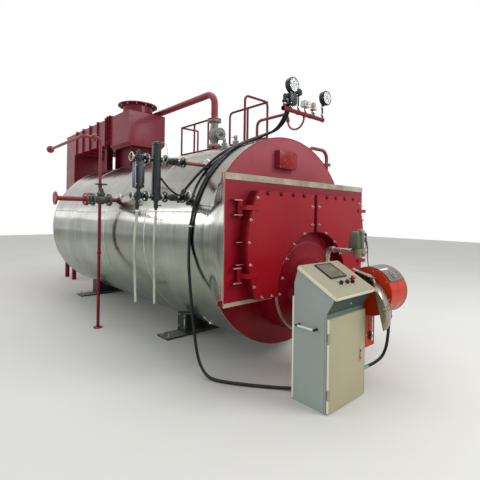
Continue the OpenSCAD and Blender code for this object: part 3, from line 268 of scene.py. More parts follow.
def surface(name, colour, rough=.4, metal=.0, vary=.12, scale=3, dust=.0, dust_colour=(170, 165, 158),
            streak=.0, bump=.15, grain=90, spots=.0, spot_colour=(60, 30, 24), coat=.0, orange=.0, gloss=.3, paler_with_height=.0):
    """Procedural finish: uneven colour, dust on upward faces, runs down upright ones, specks, and its own relief."""
    n = Nodes(name)
    c = srgb(*colour)
    dark = tuple(q * (1 - vary) for q in c[:3]) + (1,)
    light = tuple(min(1, q * (1 + vary)) for q in c[:3]) + (1,)
    cloud = n.noise(scale, 4)
    col = n.mix(n.ramp(cloud, .3, .7), dark, light)
    if streak:
        runs = n.ramp(n.noise(9, 3, (1, 1, .07)), .52, .75, 0, streak)
        col = n.mix(runs, col, tuple(q * .55 for q in c[:3]) + (1,))
    if spots:
        speck = n.ramp(n.noise(55, 2), .66, .72, 0, spots)
        col = n.mix(speck, col, srgb(*spot_colour))
    if dust:
        fine = n.ramp(n.noise(14, 5), .25, .75, .45, 1)
        lie = n.math("MULTIPLY", n.ramp(n.up(), .15, .95), fine)
        col = n.mix(n.math("MULTIPLY", lie, dust), col, srgb(*dust_colour))
    # Paler towards the top: the dust colour mixed in by height.
    if paler_with_height:
        high = n.ramp(n.height(), 1.15, 2.25, 0, paler_with_height)
        col = n.mix(n.math("MULTIPLY", high, n.ramp(n.noise(1.4, 4), .25, .75, .55, 1.2)), col, srgb(*dust_colour))
    n.link(col, n.out.inputs["Base Color"])
    n.out.inputs["Metallic"].default_value = metal
    n.out.inputs["Specular IOR Level"].default_value = gloss
    r = n.ramp(n.noise(scale * 4, 4), .25, .75, max(.03, rough - .09), min(1, rough + .12))
    n.link(r, n.out.inputs["Roughness"])
    if coat:
        n.out.inputs["Coat Weight"].default_value = coat
        n.out.inputs["Coat Roughness"].default_value = .12
    h = n.noise(grain, 3)
    if orange:
        h = n.math("ADD", h, n.math("MULTIPLY", n.noise(260, 1), orange))
    b = n.node("ShaderNodeBump", {"Height": h, "Strength": bump, "Distance": .002})
    n.link(b.outputs[0], n.out.inputs["Normal"])
    return n.mat

def cladding():
    """Thin bright sheet: painted reflection and shade in bands by height, painted reflection streaks, faint grain
    round the shell, slow waves along it and small dents.
    """
    n = Nodes("bright_cladding")
    grain = n.noise(7, 4, (.22, 7, .22), .6)
    along = n.noise(1.5, 3, (1.6, .32, 1.6), .5)
    fine = n.noise(5, 3, (1.8, .16, 1.8), .55)
    wave = n.noise(1.1, 2, (.6, 1.3, .6))
    smudge = n.noise(3.2, 5)
    shift = n.math("ADD", n.math("MULTIPLY", n.math("SUBTRACT", n.noise(.8, 2), .5), .14),
                   n.math("MULTIPLY", n.math("SUBTRACT", fine, .5), .1))
    # Painted reflection and shade by height: dark and greenish towards the bottom, a bright reflection band above the
    # middle, duller towards the top.
    reflection_and_shade_ramp = n.t.nodes.new("ShaderNodeValToRGB")
    n.link(n.ramp(n.math("ADD", n.height(), shift), 1.305 - R, 1.305 + R), reflection_and_shade_ramp.inputs[0])
    tones = ((.0, (60, 74, 60)), (.1, (74, 90, 76)), (.2, (112, 130, 112)), (.3, (140, 152, 134)), (.38, (150, 160,
            144)),
             (.45, (132, 138, 126)), (.53, (112, 116, 108)), (.57, (136, 138, 130)), (.59, (240, 240, 234)),
             (.635, (244, 244, 238)), (.66, (178, 178, 170)), (.74, (150, 150, 142)), (.86, (146, 143, 134)), (1,
                     (132, 128, 118)))
    for k, (at, c) in enumerate(tones):
        e = reflection_and_shade_ramp.color_ramp.elements[k] if k < 2 else reflection_and_shade_ramp.color_ramp.elements.new(at)
        e.position, e.color = at, srgb(*c)
    col = n.mix(n.ramp(grain, .36, .66, 0, .16), reflection_and_shade_ramp.outputs[0], srgb(214, 215, 206))
    # Darker long streaks along the shell and lighter patches over its waves: painted reflection streaks.
    col = n.mix(n.ramp(along, .5, .68, 0, .42), col, srgb(92, 96, 88))
    col = n.mix(n.ramp(wave, .52, .7, 0, .3), col, srgb(206, 208, 200))
    col = n.mix(n.ramp(smudge, .5, .72, 0, .25), col, srgb(122, 120, 110))
    n.link(col, n.out.inputs["Base Color"])
    n.out.inputs["Metallic"].default_value = 1
    r = n.math("ADD", n.ramp(grain, .3, .75, .12, .2), n.ramp(smudge, .45, .8, 0, .12))
    n.link(r, n.out.inputs["Roughness"])
    dents = n.node("ShaderNodeTexVoronoi", {"Vector": n.scaled((1.3, 2.1, 1.3)), "Scale": 3}).outputs["Distance"]
    h = n.math("ADD", n.math("MULTIPLY", wave, 7), n.math("MULTIPLY", grain, .35))
    h = n.math("ADD", h, n.ramp(dents, .0, .06, -.5, .0))
    b = n.node("ShaderNodeBump", {"Height": h, "Strength": .4, "Distance": .004})
    n.link(b.outputs[0], n.out.inputs["Normal"])
    return n.mat

crimson = surface("crimson_paint", (130, 12, 30), .32, vary=.16, scale=2.2, dust=.3, dust_colour=(176, 96, 108),
                  streak=.16, coat=.05, spots=.15, orange=.3, gloss=.12, paler_with_height=.2)
disc_red = surface("end_plate_paint", (128, 14, 30), .34, vary=.2, scale=1.8, dust=.4, dust_colour=(186, 128, 136),
                   streak=.22, coat=.05, spots=.2, orange=.3, gloss=.12, paler_with_height=.38)
flue_red = surface("flue_crimson_paint", (112, 11, 32), .3, vary=.2, scale=2, dust=.3, dust_colour=(160, 84, 100),
                   streak=.2, coat=.12, spots=.2, orange=.4, gloss=.14, paler_with_height=.12)
flue_dark = surface("flue_shadow_paint", (82, 8, 24), .4, vary=.2, scale=3, dust=.25, dust_colour=(130, 70, 84),
                    streak=.2, gloss=.1)
door_red = surface("crimson_door_paint", (142, 14, 28), .34, vary=.1, scale=1.6, dust=.16, dust_colour=(184, 110,
        116), streak=.1, coat=.05, orange=.3, gloss=.1, paler_with_height=.18)
dark_crimson = surface("dark_crimson_paint", (108, 16, 32), .42, vary=.2, scale=4, dust=.35, dust_colour=(160, 104,
        112), streak=.2, coat=.03, spots=.3, gloss=.12, paler_with_height=.15)
# Deep red for faces that stand in shade: painted shade of the crimson.
deep_red_shade = surface("deep_red_paint", (104, 8, 18), .5, vary=.25, scale=4, dust=.2, dust_colour=(140, 70, 74),
                   streak=.2, gloss=.08)
pipe_red = surface("pipe_red_paint", (128, 26, 40), .38, vary=.2, scale=7, dust=.4, dust_colour=(176, 136, 140),
                   streak=.2, coat=.05, spots=.4, gloss=.13, paler_with_height=.16)
bright = cladding()
seam_steel = surface("seam_steel", (176, 178, 172), .28, 1, vary=.15, scale=12, streak=.2)
pale_strip = surface("pale_sheet_strip", (158, 154, 134), .5, .1, vary=.35, scale=5, dust=.6, streak=.5, spots=.5,
                     gloss=.25)
black_paint = surface("black_frame_paint", (38, 41, 42), .48, vary=.3, scale=5, dust=.85, dust_colour=(156, 158, 146),
                      streak=.35)
side_plate = surface("grey_dusty_plate", (96, 100, 92), .5, vary=.25, scale=5, dust=.6, dust_colour=(170, 170, 158),
                     streak=.5)
casting = surface("grey_valve_casting", (122, 126, 122), .42, .3, vary=.25, scale=14, dust=.4, bump=.5, grain=160,
                  spots=.4, gloss=.3)
black_iron = surface("black_valve_enamel", (24, 31, 32), .34, vary=.3, scale=14, dust=.22, dust_colour=(130, 138,
        134), bump=.35, grain=150, coat=.2)
green_iron = surface("dark_green_casting", (70, 78, 66), .42, vary=.25, scale=14, dust=.4, dust_colour=(150, 152,
        136), bump=.45, grain=150)
navy = surface("navy_gauge_paint", (20, 26, 54), .32, vary=.2, scale=8, dust=.15, coat=.2)
zinc = surface("zinc_pipe", (178, 187, 172), .36, .55, vary=.16, scale=9, streak=.3, spots=.2, spot_colour=(120, 124,
        110))
galvanised = surface("galvanised_pipe", (176, 174, 160), .3, .85, vary=.18, scale=16, streak=.2)
bright_steel = surface("plated_steel", (206, 206, 198), .24, .95, vary=.12, scale=20)
dull_steel = surface("dull_plated_steel", (176, 170, 160), .36, .8, vary=.2, scale=20)
orange = surface("orange_burner_enamel", (180, 48, 16), .22, vary=.1, scale=3, dust=.1, dust_colour=(200, 120, 90),
                 coat=.08, bump=.05, gloss=.1)
# Darker orange for the burner's faces turned from the light: painted shade of the orange enamel.
orange_in_shade = surface("burner_enamel_in_shade", (104, 26, 16), .34, vary=.15, scale=3, coat=.1, bump=.05, gloss=.15)
alloy = surface("cast_alloy", (142, 136, 122), .3, .8, vary=.16, scale=12, bump=.3, grain=200)
grey_plate = surface("grey_burner_plate", (84, 78, 72), .4, vary=.12, scale=8, dust=.3, bump=.15, gloss=.25)
desk_grey = surface("desk_blue_grey", (150, 162, 156), .46, vary=.05, scale=1.6, dust=.15, bump=.25, grain=700,
                    gloss=.25)
desk_dark = surface("desk_dark_grey", (58, 72, 64), .46, vary=.08, scale=2, bump=.25, grain=700, gloss=.2)
desk_cream = surface("desk_cream", (166, 160, 130), .44, vary=.05, scale=1.6, dust=.1, bump=.25, grain=700, gloss=.2)
desk_lid = surface("desk_lid_beige", (150, 145, 122), .46, vary=.06, scale=1.8, dust=.15, bump=.25, grain=700,
                   gloss=.2)
lid_edge = surface("desk_lid_edge", (222, 220, 196), .42, vary=.05, scale=2, bump=.2, grain=700, gloss=.25)
plastic = surface("black_plastic", (26, 27, 26), .36, vary=.2, scale=20, bump=.1, grain=400)
grey_plastic = surface("grey_plastic", (120, 122, 118), .42, vary=.1, scale=20, bump=.1, grain=400)
white_plastic = surface("white_plastic", (226, 228, 222), .4, vary=.06, scale=12, bump=.1, grain=400)
red_plastic = surface("red_knob_plastic", (190, 26, 30), .26, vary=.08, scale=20, coat=.5, bump=.03)
rubber = surface("black_cable_rubber", (20, 21, 21), .42, vary=.25, scale=10, dust=.35, dust_colour=(110, 112, 108),
                 bump=.2, grain=300)
dial_white = surface("dial_white", (206, 208, 208), .5, vary=.03, scale=20, bump=.02)
ink = surface("dial_ink", (18, 18, 18), .6, vary=.1, scale=30, bump=.02)
screen_glass = surface("screen_glass", (98, 92, 74), .3, vary=.05, scale=3, coat=.12, bump=.0, gloss=.25)
brass = surface("brass", (172, 138, 76), .3, .95, vary=.15, scale=20)
blue_sleeve = surface("pale_blue_sleeve", (124, 168, 176), .4, vary=.1, scale=20)

def clear_glass():
    n = Nodes("clear_glass")
    smear = n.ramp(n.noise(12, 3), .3, .8, .02, .09)
    n.link(smear, n.out.inputs["Roughness"])
    n.link(n.mix(n.noise(4), (.95, .97, .96, 1), (1, 1, 1, 1)), n.out.inputs["Base Color"])
    n.out.inputs["Transmission Weight"].default_value = 1
    n.out.inputs["IOR"].default_value = 1.05
    return n.mat
glass = clear_glass()

for finish, names in (
        (black_paint, "front_saddle rear_saddle"), (bright, "shell"), (disc_red, "front_tube_plate"),
        (crimson, "rear_plate smokebox smokebox_front hinge_brackets furnace_mouth nameplate_box"),
        (pale_strip, "cover_strips"), (deep_red_shade, "door_frame expansion_joint"), (door_red, "left_door right_door"),
        (flue_red, "flue_riser flue_duct chimney_box chimney_neck"), (flue_dark, "duct_support"),
        (casting, "steam_valve safety_valves burner_head"), (dark_crimson, "guard_rail gauge_manifold"),
        (pipe_red, "steam_pipe vent_pipe manifold_support gauge_pipes feed_pipe standpipe"),
        (plastic, "pressure_gauges pressure_switches desk_controls"), (navy, "level_glass"), (zinc, "gauge_drains"),
        (black_iron, "gauge_valves water_column upper_gauge_handwheel lower_gauge_handwheel feed_handwheel"),
        (green_iron, "feed_valves"), (orange, "burner_body"), (alloy, "burner_fan_housing"),
        (grey_plate, "burner_top_plate"), (galvanised, "gas_train"), (desk_grey, "desk_body"),
        (lid_edge, "desk_back_panel"), (desk_cream, "desk_door"), (desk_lid, "desk_top")):
    for name in names.split():
        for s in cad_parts[name].material_slots:
            s.link = "OBJECT"
            s.material = finish

# ---------------------------------------------------------------- cords
def cord(name, node, points, d):
    """Cord of diameter d along points, in place of a CAD node where there is one."""
    path = curve_through(points, 4)
    p = Piece(name).paint(rubber)
    p.sweep(path, d / 2 - .0002, 14)
    o = p.done(slot="black_cable", angle=60)
    if node:
        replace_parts(o, node)
    return path

clad_route = [(-.212, -.188, 1.431), (-.212, -.188, 1.388), (-.203, -.158, 1.342), (-.186, -.1, 1.29), (-.17, -.025,
        1.25),
              (-.165, .06, 1.222), (-.195, .155, 1.198), (-.275, .225, 1.158), (-.37, .258, 1.116)]
clad_route += [on_cladding(a, y, .03) for a, y in ((66, .272), (60, .29), (54, .318), (48, .35), (42, .378))]
clad_route += [(-.955, .404, .69), (-1.036, .426, .592), (-1.09, .438, .524), (-1.111, .44, .498)]
control_route = [(-.25, -.188, 1.431), (-.25, -.188, 1.388), (-.242, -.158, 1.338), (-.226, -.1, 1.284), (-.21, -.03,
        1.24),
                 (-.205, .05, 1.206), (-.235, .122, 1.18), (-.31, .18, 1.136), on_cladding(69, .214, .03)]
control_route += [on_cladding(a, .23, .03) for a in range(62, -2, -7)]
control_route += [(-1.18, .215, -.2), (-1.165, .205, -.45), (-1.13, .2, -.76), (-1.095, .19, -1.03), (-1.075, .15,
        -1.18),
                  (-1.062, .05, -1.266), (-1.02, -.06, -1.287), (-.905, -.25, -1.287), (-.75, -.45, -1.287),
                  (-.655, -.57, -1.284), (-.612, -.645, -1.272), (-.6, -.697, -1.264)]
burner_route = [(.205, -1.12, -.654), (.205, -1.12, -.7), (.194, -1.12, -.765), (.178, -1.12, -.858), (.166, -1.11,
        -.955),
                (.14, -1.085, -1.04), (.082, -1.05, -1.092), (.02, -1.01, -1.125), (-.06, -.975, -1.15),
                (-.12, -.955, -1.16), (-.159, -.945, -1.165)]
clad_path = cord("gauge_cable", "cladding_conduit", clad_route, .03)
control_path = cord("desk_cable", "control_cable", control_route, .03)
burner_path = cord("burner_conduit", "burner_cable", burner_route, .028)

lead_route = [(-1.385, .42, .625), (-1.375, .4, .6), (-1.352, .385, .565), (-1.31, .38, .522), (-1.26, .38, .487),
              (-1.21, .384, .465),
              (-1.165, .392, .458), (-1.128, .41, .47), (-1.112, .432, .488)]
cord("level_switch_lead", None, lead_route, .02)

# Glands and sleeves of the flexible lines
g = Piece("cable_fittings").paint(plastic)
for path, d in ((clad_path, .03), (control_path, .03), (burner_path, .028)):
    for a, b in ((path[0], path[1]), (path[-1], path[-2])):
        n = (b - a).normalized()
        g.lathe(a, n, [(d * .92, 0), (d * .92, .010), (d * .84, .012)], 6)
        g.lathe(a, n, [(d * .8, .010), (d * .78, .026), (d * .6, .036), (d * .53, .045)], 20)
g.paint(white_plastic)
i = min(range(30, len(control_path) - 1), key=lambda i: abs(control_path[i].z - .175))
t = (control_path[i + 1] - control_path[i]).normalized()
g.lathe(control_path[i] - t * .007, t, rim(.0165, .0175, .014, .003), 20)
g.block(control_path[i].x - .024, control_path[i].x - .014, .228, .24, .17, .18, .002)
g.paint(blue_sleeve)
i = len(burner_path) - 13
g.sweep(burner_path[i:i + 6], .0165, 14)
g.done()

# ---------------------------------------------------------------- shell: laps, rims and rivets
s = Piece("cladding_seams").paint(seam_steel)
def hoop(y, half, r, n=220):
    s.lathe((0, y - half, 0), AFT, [(r, 0), (r + .0014, .003), (r + .0014, 2 * half - .003), (r, 2 * half)], n)
for y in SEAMS:
    hoop(y, .014, R + .0003)
hoop(4.854, .014, R + .0006)
for y in SEAMS:
    for k in range(72):
        a = 2 * pi * k / 72 + .03
        n = V(cos(a), 0, sin(a))
        s.lathe(n * (R + .0012) + V(0, y, 0), n, RIVET, 8)
for side, a in ((-1, radians(15)), (1, radians(20))):
    for y0, y1, da in ((.03, 1.196, 0), (1.224, 2.406, .01), (2.434, 3.616, -.012), (3.644, 4.84, .006)):
        b = a + da
        n = V(side * cos(b), 0, sin(b))
        t = V(side * -sin(b), 0, cos(b))
        q = n * (R + .0004)
        s.add([q - t * .013 + V(0, y0, 0), q - t * .013 + V(0, y1, 0), q + t * .013 + V(0, y1, 0), q + t * .013 + V(0,
                y0, 0),
               q - t * .013 + n * .0014 + V(0, y0, 0), q - t * .013 + n * .0014 + V(0, y1, 0),
               q + t * .013 + n * .0006 + V(0, y1, 0), q + t * .013 + n * .0006 + V(0, y0, 0)],
              [[4, 5, 6, 7], [0, 4, 7, 3], [1, 2, 6, 5], [0, 1, 5, 4], [3, 7, 6, 2]])
        for k in range(int((y1 - y0) / .14)):
            s.lathe(n * (R + .0016) + V(0, y0 + .07 + .14 * k, 0), n, RIVET, 8)
s.done(slot="stainless_cladding")

# Pipe collars where lines pass the cladding
c = Piece("cladding_collars").paint(seam_steel)
for z in COCKS:
    x = sqrt(R * R - z * z)
    c.lathe((-x + .012, .44, z), LEFT, [(.075, 0), (.07, .012), (.032, .034), (.022, .036)], 28)
c.lathe((-sqrt(R * R - .45 ** 2) + .012, 2.15, .45), LEFT, [(.1, 0), (.095, .012), (.045, .036), (.032, .038)], 28)
for x, y, r in ((.4, 1.88, .054), (.2, 1.13, .03), (.2, 1.38, .03)):
    c.lathe((x, y, sqrt(R * R - x * x) - .01), UP, [(r + .05, 0), (r + .045, .014), (r + .012, .036), (r + .002,
            .038)], 28)
c.done(slot="stainless_cladding")

# ---------------------------------------------------------------- smokebox, its sides clad in the shell's sheet
def side_x(z, y):
    """Half width of the cladding between the round shell and the straight edge of the front plate."""
    t = min(1, max(0, -y / .262))
    t = t * t * (3 - 2 * t)
    return sqrt(R * R - z * z) * (1 - t) + R * t
smoke = Piece("smokebox_sheet").paint(bright)
rows = 12
for side in (-1, 1):
    grid = []
    for i in range(rows + 1):
        y = -.27 * i / rows
        low = -.543 + (.068 * max(0, i - 9) / 3 if i > 9 else 0)
        grid.append([V(side * (side_x(z, y) + .0008), y,
                       z) for z in [low + (.648 - low) * k / 28 for k in range(29)]])
    for i in range(rows):
        a, c = grid[i], grid[i + 1]
        inner = [[V(q.x - side * .0016, q.y, q.z) for q in g_] for g_ in (a, c)]
        n = len(a)
        verts = a + c + inner[0] + inner[1]
        faces = []
        for k in range(n - 1):
            q = [k, k + 1, n + k + 1, n + k]
            faces.append(q if side < 0 else q[::-1])
            q = [2 * n + k, 3 * n + k, 3 * n + k + 1, 2 * n + k + 1]
            faces.append(q if side < 0 else q[::-1])
        faces += [[0, n, 3 * n, 2 * n], [n - 1, 3 * n - 1, 4 * n - 1, 2 * n - 1]]
        smoke.add(verts, faces)
o = smoke.done(slot="stainless_cladding", angle=50)
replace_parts(o, "smokebox")

# Pale pink rim: painted highlight where the front plate's edges catch the light.
rim_highlight = surface("red_rim_highlight_paint", (176, 112, 102), .4, vary=.2, scale=30, gloss=.2)
sb = Piece("smokebox_plates").paint(crimson)
for z0, z1 in ((.636, .648), (-.543, -.531)):
    ys = [-.27 + .25 * i / 10 for i in range(11)]
    loop = [(-side_x((z0 + z1) / 2, y) + .002, y) for y in ys] + [(side_x((z0 + z1) / 2, y) - .002,
            y) for y in reversed(ys)]
    sb.skin([[V(q[0], q[1], z) for q in loop] for z in (z0, z1)])
# wall of the furnace collar below the box
rings = [[V(r * cos(a), y, AX + r * sin(a)) for r, y in ((.4895, -.0205), (.4895, -.2698), (.479, -.2698), (.479,
        -.0205))]
         for a in [radians(187.6 + 164.8 * k / 60) for k in range(61)]]
sb.skin(rings)
# inner side walls behind the sheet, and the front corner that shows at the sheet's cut-back lower end, its face in
# deep red painted shade
for side in (-1, 1):
    sb.block(*sorted((side * 1.1492, side * 1.138)), -.27, -.232, -.543, .648, .001)
    sb.paint(deep_red_shade)
    q = [V(side * 1.1506, -.268, -.478), V(side * 1.1506, -.268, -.541), V(side * 1.1506, -.19, -.541),
         V(side * 1.1506, -.205, -.50)]
    sb.skin([q, [p_ - V(side * .004, 0, 0) for p_ in q]])
    # pale rim along the cut corner and up the plate's side edge: painted highlight
    sb.paint(rim_highlight)
    sb.sweep(curve_through([(side * 1.151, -.268, -.476), (side * 1.151, -.225, -.482), (side * 1.1515, -.198, -.5),
                            (side * 1.151, -.2, -.541)], 5), .003, 8)
    sb.block(*sorted((side * 1.1486, side * 1.1512)), -.2822, -.2702, -.543, .648, .0008)
    sb.paint(crimson)
sb.done(slot="crimson_paint")

# Pale pink: painted highlight on red edges and rivet heads that catch the light.
red_edge_highlight = surface("red_edge_highlight_paint", (196, 136, 134), .4, vary=.2, scale=30)
plate_red = surface("speckled_red_plate", (132, 18, 30), .3, vary=.3, scale=26, dust=.4, dust_colour=(176, 96, 96),
                    spots=.9,
                    spot_colour=(196, 130, 122), bump=.5, grain=60, gloss=.2)
# ---------------------------------------------------------------- front: strips, plate, hinges and studs
f = Piece("front_trim").paint(pale_strip)
FRONT = -.282
for k in range(12):
    x = -1.08 + .196 * k
    f.lathe((x, FRONT - .006, .618), FORE, [(.007, 0), (.0055, .003), (.0025, .0042)], 10)
# name plate left bare, with its rivets
f.paint(plate_red)
f.block(-.2314, .0614, -.094, -.088, .7906, .9844, .0015)
# rivet heads in pale pink: painted highlight
f.paint(red_edge_highlight)
for x in (-.221, .051):
    for z in (.801, .974):
        f.lathe((x, -.094, z), FORE, [(.005, 0), (.004, .0015), (.002, .0022)], 10)
f.paint(crimson)
# weld runs round the smokebox and up its corners
def weld(points, r=.0045):
    pts = curve_through(points, 2) if len(points) > 2 else [Vector(q) for q in points]
    rng = random.Random(len(points) * 7 + 3)
    out = []
    for a, b in zip(pts, pts[1:]):
        m = max(2, int((b - a).length / .02))
        out += [a.lerp(b, k / m) + V(rng.uniform(-1, 1), rng.uniform(-1, 1), rng.uniform(-1,
                1)) * .0006 for k in range(m)]
    f.sweep(out + [pts[-1]], r, 6)
weld([(-.94, -.02, .648), (.94, -.02, .648)], .005)
ring = [(1.15 * cos(a) * .9985, -.0205,
         1.15 * sin(a) * .9985) for a in [radians(34.4 + k * 3.706) for k in range(31)]]
weld(ring, .004)
f.paint(seam_steel)
for lo, hi in ((34.6, 145.4), (208.5, 331.5)):
    f.sweep([(1.1505 * cos(a), -.001,
              1.1505 * sin(a)) for a in [radians(lo + (hi - lo) * k / 80) for k in range(81)]], .0032, 6)
f.done(slot="crimson_paint")

hb = Piece("hinge_dressing").paint(pipe_red)
for side in (-1, 1):
    for z in (.34, -.265):
        for e in (-1, 1):
            zz = z + e * .066
            # pale pink strips on the bars' fronts: painted highlight on their edges
            hb.paint(red_edge_highlight)
            hb.block(*sorted((side * 1.083, side * .986)), -.3372, -.3356, zz - .0045, zz + .0045, .001)
            hb.paint(crimson)
            hb.lathe((side * 1, -.312, z + e * .072), (0, 0, e), [(.019, 0), (.019, .008), (.013, .012), (.004,
                    .013)], 18)
            hb.sweep([(side * 1.082, -.286, zz), (side * 1.02, -.286, zz)], .005, 6)
    for z in (.03, -.17):
        hb.paint(crimson)
        hb.block(*sorted((side * 1.05, side * .965)), -.33, -.282, z - .005, z + .005, .0015)
        # pale pink strip on the bar's front: painted highlight
        hb.paint(red_edge_highlight)
        hb.block(*sorted((side * 1.048, side * .967)), -.3312, -.3298, z - .003, z + .003, .0008)
hb.done(slot="crimson_paint")

DOOR = -.4043
for side, body in ((-1, "left_door"), (1, "right_door")):
    d = Piece(body + "_studs", body)
    spots = [(.87, .43), (.95, .23), (.968, .03), (.95, -.17), (.9, -.37), (.8, -.475), (.67, -.478), (.56, -.478),
             (.058, .37), (.058, .18), (.19, .09), (.35, -.012), (.462, -.15), (.522, -.33)]
    for k, (x, z) in enumerate(spots):
        d.paint(dull_steel)
        d.bolt((side * x, DOOR, z), FORE, .013, stud=.013, turn=.4 * k)
    # Dark red half-ovals round the top studs: painted shade of their notches.
    for x in (.735, .55, .37, .2):
        d.paint(deep_red_shade)
        prof = [(cos(a) * .026, sin(a) * .024) for a in [pi + pi * k / 10 for k in range(11)]]
        pts = [(side * x + q[0], DOOR - .0012, .478 + q[1]) for q in prof] + [(side * x + .026, DOOR - .0012, .4985),
                (side * x - .026, DOOR - .0012, .4985)]
        back = [(q[0], DOOR + .0005, q[2]) for q in pts]
        n = len(pts)
        d.add(pts + back, [list(range(n))[::-1]] + [[i, (i + 1) % n, n + (i + 1) % n, n + i] for i in range(n)])
        d.paint(dark_crimson)
        d.bolt((side * x, DOOR - .001, .478), FORE, .015, stud=.01, washer=False, turn=.3)
    d.paint(door_red)
    for z in (.34, -.265):
        for dx in (.035, .1):
            d.bolt((side * (1 - dx - .03), DOOR, z), FORE, .014, washer=False)
    d.done(slot="crimson_paint")

low = Piece("cladding_drain_strip").paint(zinc)
a0, a1 = radians(229), radians(238.5)
arc = [a0 + (a1 - a0) * k / 8 for k in range(9)]
low_rings = [[V(r * cos(a), y, r * sin(a)) for r, y in ((R + .0005, .49), (R + .0045, .49), (R + .0045, .545),
                                                        (R + .0005, .545))] for a in arc]
low.skin(low_rings)
low.paint(white_plastic)
mid = radians(234.5)
low.bolt(((R + .0045) * cos(mid), .518, (R + .0045) * sin(mid)), (cos(mid), 0, sin(mid)), .016, stud=.006)
low.done(slot="pale_strip")

# ---------------------------------------------------------------- furnace mouth, set back behind the doors
PLATE = -.2822
m = Piece("furnace_mouth_plate").paint(crimson)
m.lathe((0, PLATE, AX), FORE, [(.4885, 0), (.4885, .0035), (.466, .004), (.464, .012), (.34, .013), (.32, .02),
                                    (.252, .226), (.268, .228), (.27, .232), (.27, .2418)], 144)
def arc_band(section, lo=-5.2, hi=185.2, n=96):
    """Section of (radius, y) points carried along the part of the circle above the lower cover strip."""
    rings = [[V(r * cos(a), y, AX + r * sin(a)) for r,
              y in section] for a in [radians(lo + (hi - lo) * k / n) for k in range(n + 1)]]
    m.skin(rings)
arc_band([(.583, PLATE), (.583, PLATE - .0035), (.4875, PLATE - .0035), (.4875, PLATE)])
# The recess wall round the mouth in deep red: painted shade of its inside.
m.paint(deep_red_shade)
arc_band([(.5842, PLATE - .0034), (.5842, PLATE - .0915), (.5812, PLATE - .0915), (.5812, PLATE - .0034)])
# thin pale ring at the mouth's lip: painted highlight on its edge
m.paint(red_edge_highlight)
m.sweep([(.4648 * cos(a), PLATE - .0112, AX + .4648 * sin(a)) for a in [2 * pi * k / 144 for k in range(145)]], .0012,
        6)
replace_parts(m.done(slot="dark_crimson_paint", angle=30), "furnace_mouth")

# ---------------------------------------------------------------- gas train and actuator
GZ = -.06
gt = Piece("gas_line").paint(galvanised)
LEG, GR = -.553, .0245
gt.lathe((0, LEG, -.33), UP, [(.05, 0), (.05, .012), (.03, .02), (.0298, .15), (GR, .152), (GR, .2)], 28)
bend = [(0, LEG - .062 * (1 - cos(a)), GZ - .062 + .062 * sin(a)) for a in [radians(9 * k) for k in range(11)]]
gt.sweep([(0, LEG, GZ - .085)] + bend + [(0, LEG - .085, GZ)], .0285, 28)
gt.lathe((0, LEG, GZ - .086), UP, [(GR, 0), (.031, .002), (.032, .012), (.0285, .015)], 28)
gt.lathe((0, LEG - .072, GZ), FORE, [(.0285, 0), (.032, .003), (.031, .013), (GR, .015)], 28)
gt.rod((0, LEG - .08, GZ), (0, -.858, GZ), GR, 28)
gt.lathe((0, -.834, GZ), FORE, rim(GR, .031, .016, .002), 28)
gt.paint(bright_steel)
gt.lathe((0, -.855, GZ), FORE, [(.034, 0), (.036, .003), (.036, .02), (.034, .024)], 6, 0)
gt.paint(alloy)
gt.skin([ring_of(rounded(.044, .042, .014), (0, -.915, z)) for z in (-.108, -.03)])
gt.lathe((0, -.957, -.065), FORE, [(.03, 0), (.03, .01), (.024, .018), (.012, .019)], 24)
for a in DIAGONALS:
    gt.bolt((cos(a) * .03, -.9585, -.065 + sin(a) * .03), FORE, .007, washer=False)
gt.lathe((.044, -.915, -.065), RIGHT, [(.02, 0), (.02, .012), (.014, .013)], 6)
gt.lathe((0, -.915, -.108), DOWN, [(.018, 0), (.018, .01), (.01, .012)], 6)
olive = surface("actuator_olive", (84, 86, 70), .4, .1, vary=.12, scale=10, dust=.25, bump=.3, grain=220)
green_grey = surface("actuator_grey", (128, 134, 118), .4, .15, vary=.12, scale=10, dust=.3, bump=.3, grain=220)
gt.paint(olive)
gt.skin([ring_of([(q[0] * s, q[1] * s, 0) for q in rounded(.05, .052, .016)], (-.022 + dx, -.888, z))
          for z, s, dx in ((-.03, .9, 0), (-.022, 1, 0), (.03, 1, 0), (.10, .84, .008), (.128, .7, .012), (.136, .5,
                  .012))])
gt.paint(green_grey)
gt.skin([ring_of([(q[0] * s, q[1] * s, 0) for q in rounded(.036, .05, .014)], (.03, -.912, z))
          for z, s in ((-.03, .94), (-.024, 1), (.095, 1), (.1, .97))])
cover = [(cos(a) * .044, sin(a) * .044) for a in [pi * k / 12 for k in range(13)]]
gt.skin([[V(x, -.912 + q[0] * wide, .1 + q[1] * high) for q in cover]
         for x, wide, high in ((0, .92, 1.15), (.004, 1, 1.25), (.048, 1, 1.25), (.052, .92, 1.15))])
gt.paint(plastic)
gt.block(.012, .05, -.964, -.958, .0, .075, .003)
gt.lathe((.03, -.962, .105), FORE, [(.014, 0), (.014, .006), (.011, .008)], 18)
gt.paint(white_plastic)
gt.lathe((.066, -.93, .066), RIGHT, [(.011, 0), (.011, .012), (.008, .014)], 8)
gt.lathe((.066, -.93, .03), RIGHT, [(.011, 0), (.011, .012), (.008, .014)], 8)
gt.block(.006, .018, -.966, -.962, -.02, .03, .002)
gt.paint(bright_steel)
for x, z in ((.004, -.012), (.056, -.012), (.004, .088), (.056, .088)):
    gt.lathe((x, -.962, z), FORE, [(.0042, 0), (.0038, .002), (.002, .003)], 10)
gt.paint(plastic)
gt.sweep(curve_through([(.079, -.93, .066), (.094, -.932, .06), (.1, -.94, .02), (.096, -.948, -.06), (.085, -.955,
        -.12),
                        (.075, -.965, -.17), (.07, -.975, -.2)], 6), .0042, 8)
gt.sweep(curve_through([(.079, -.93, .03), (.088, -.934, .022), (.09, -.95, -.01), (.07, -.962, -.05), (.05, -.958,
        -.068)], 6), .0036, 8)
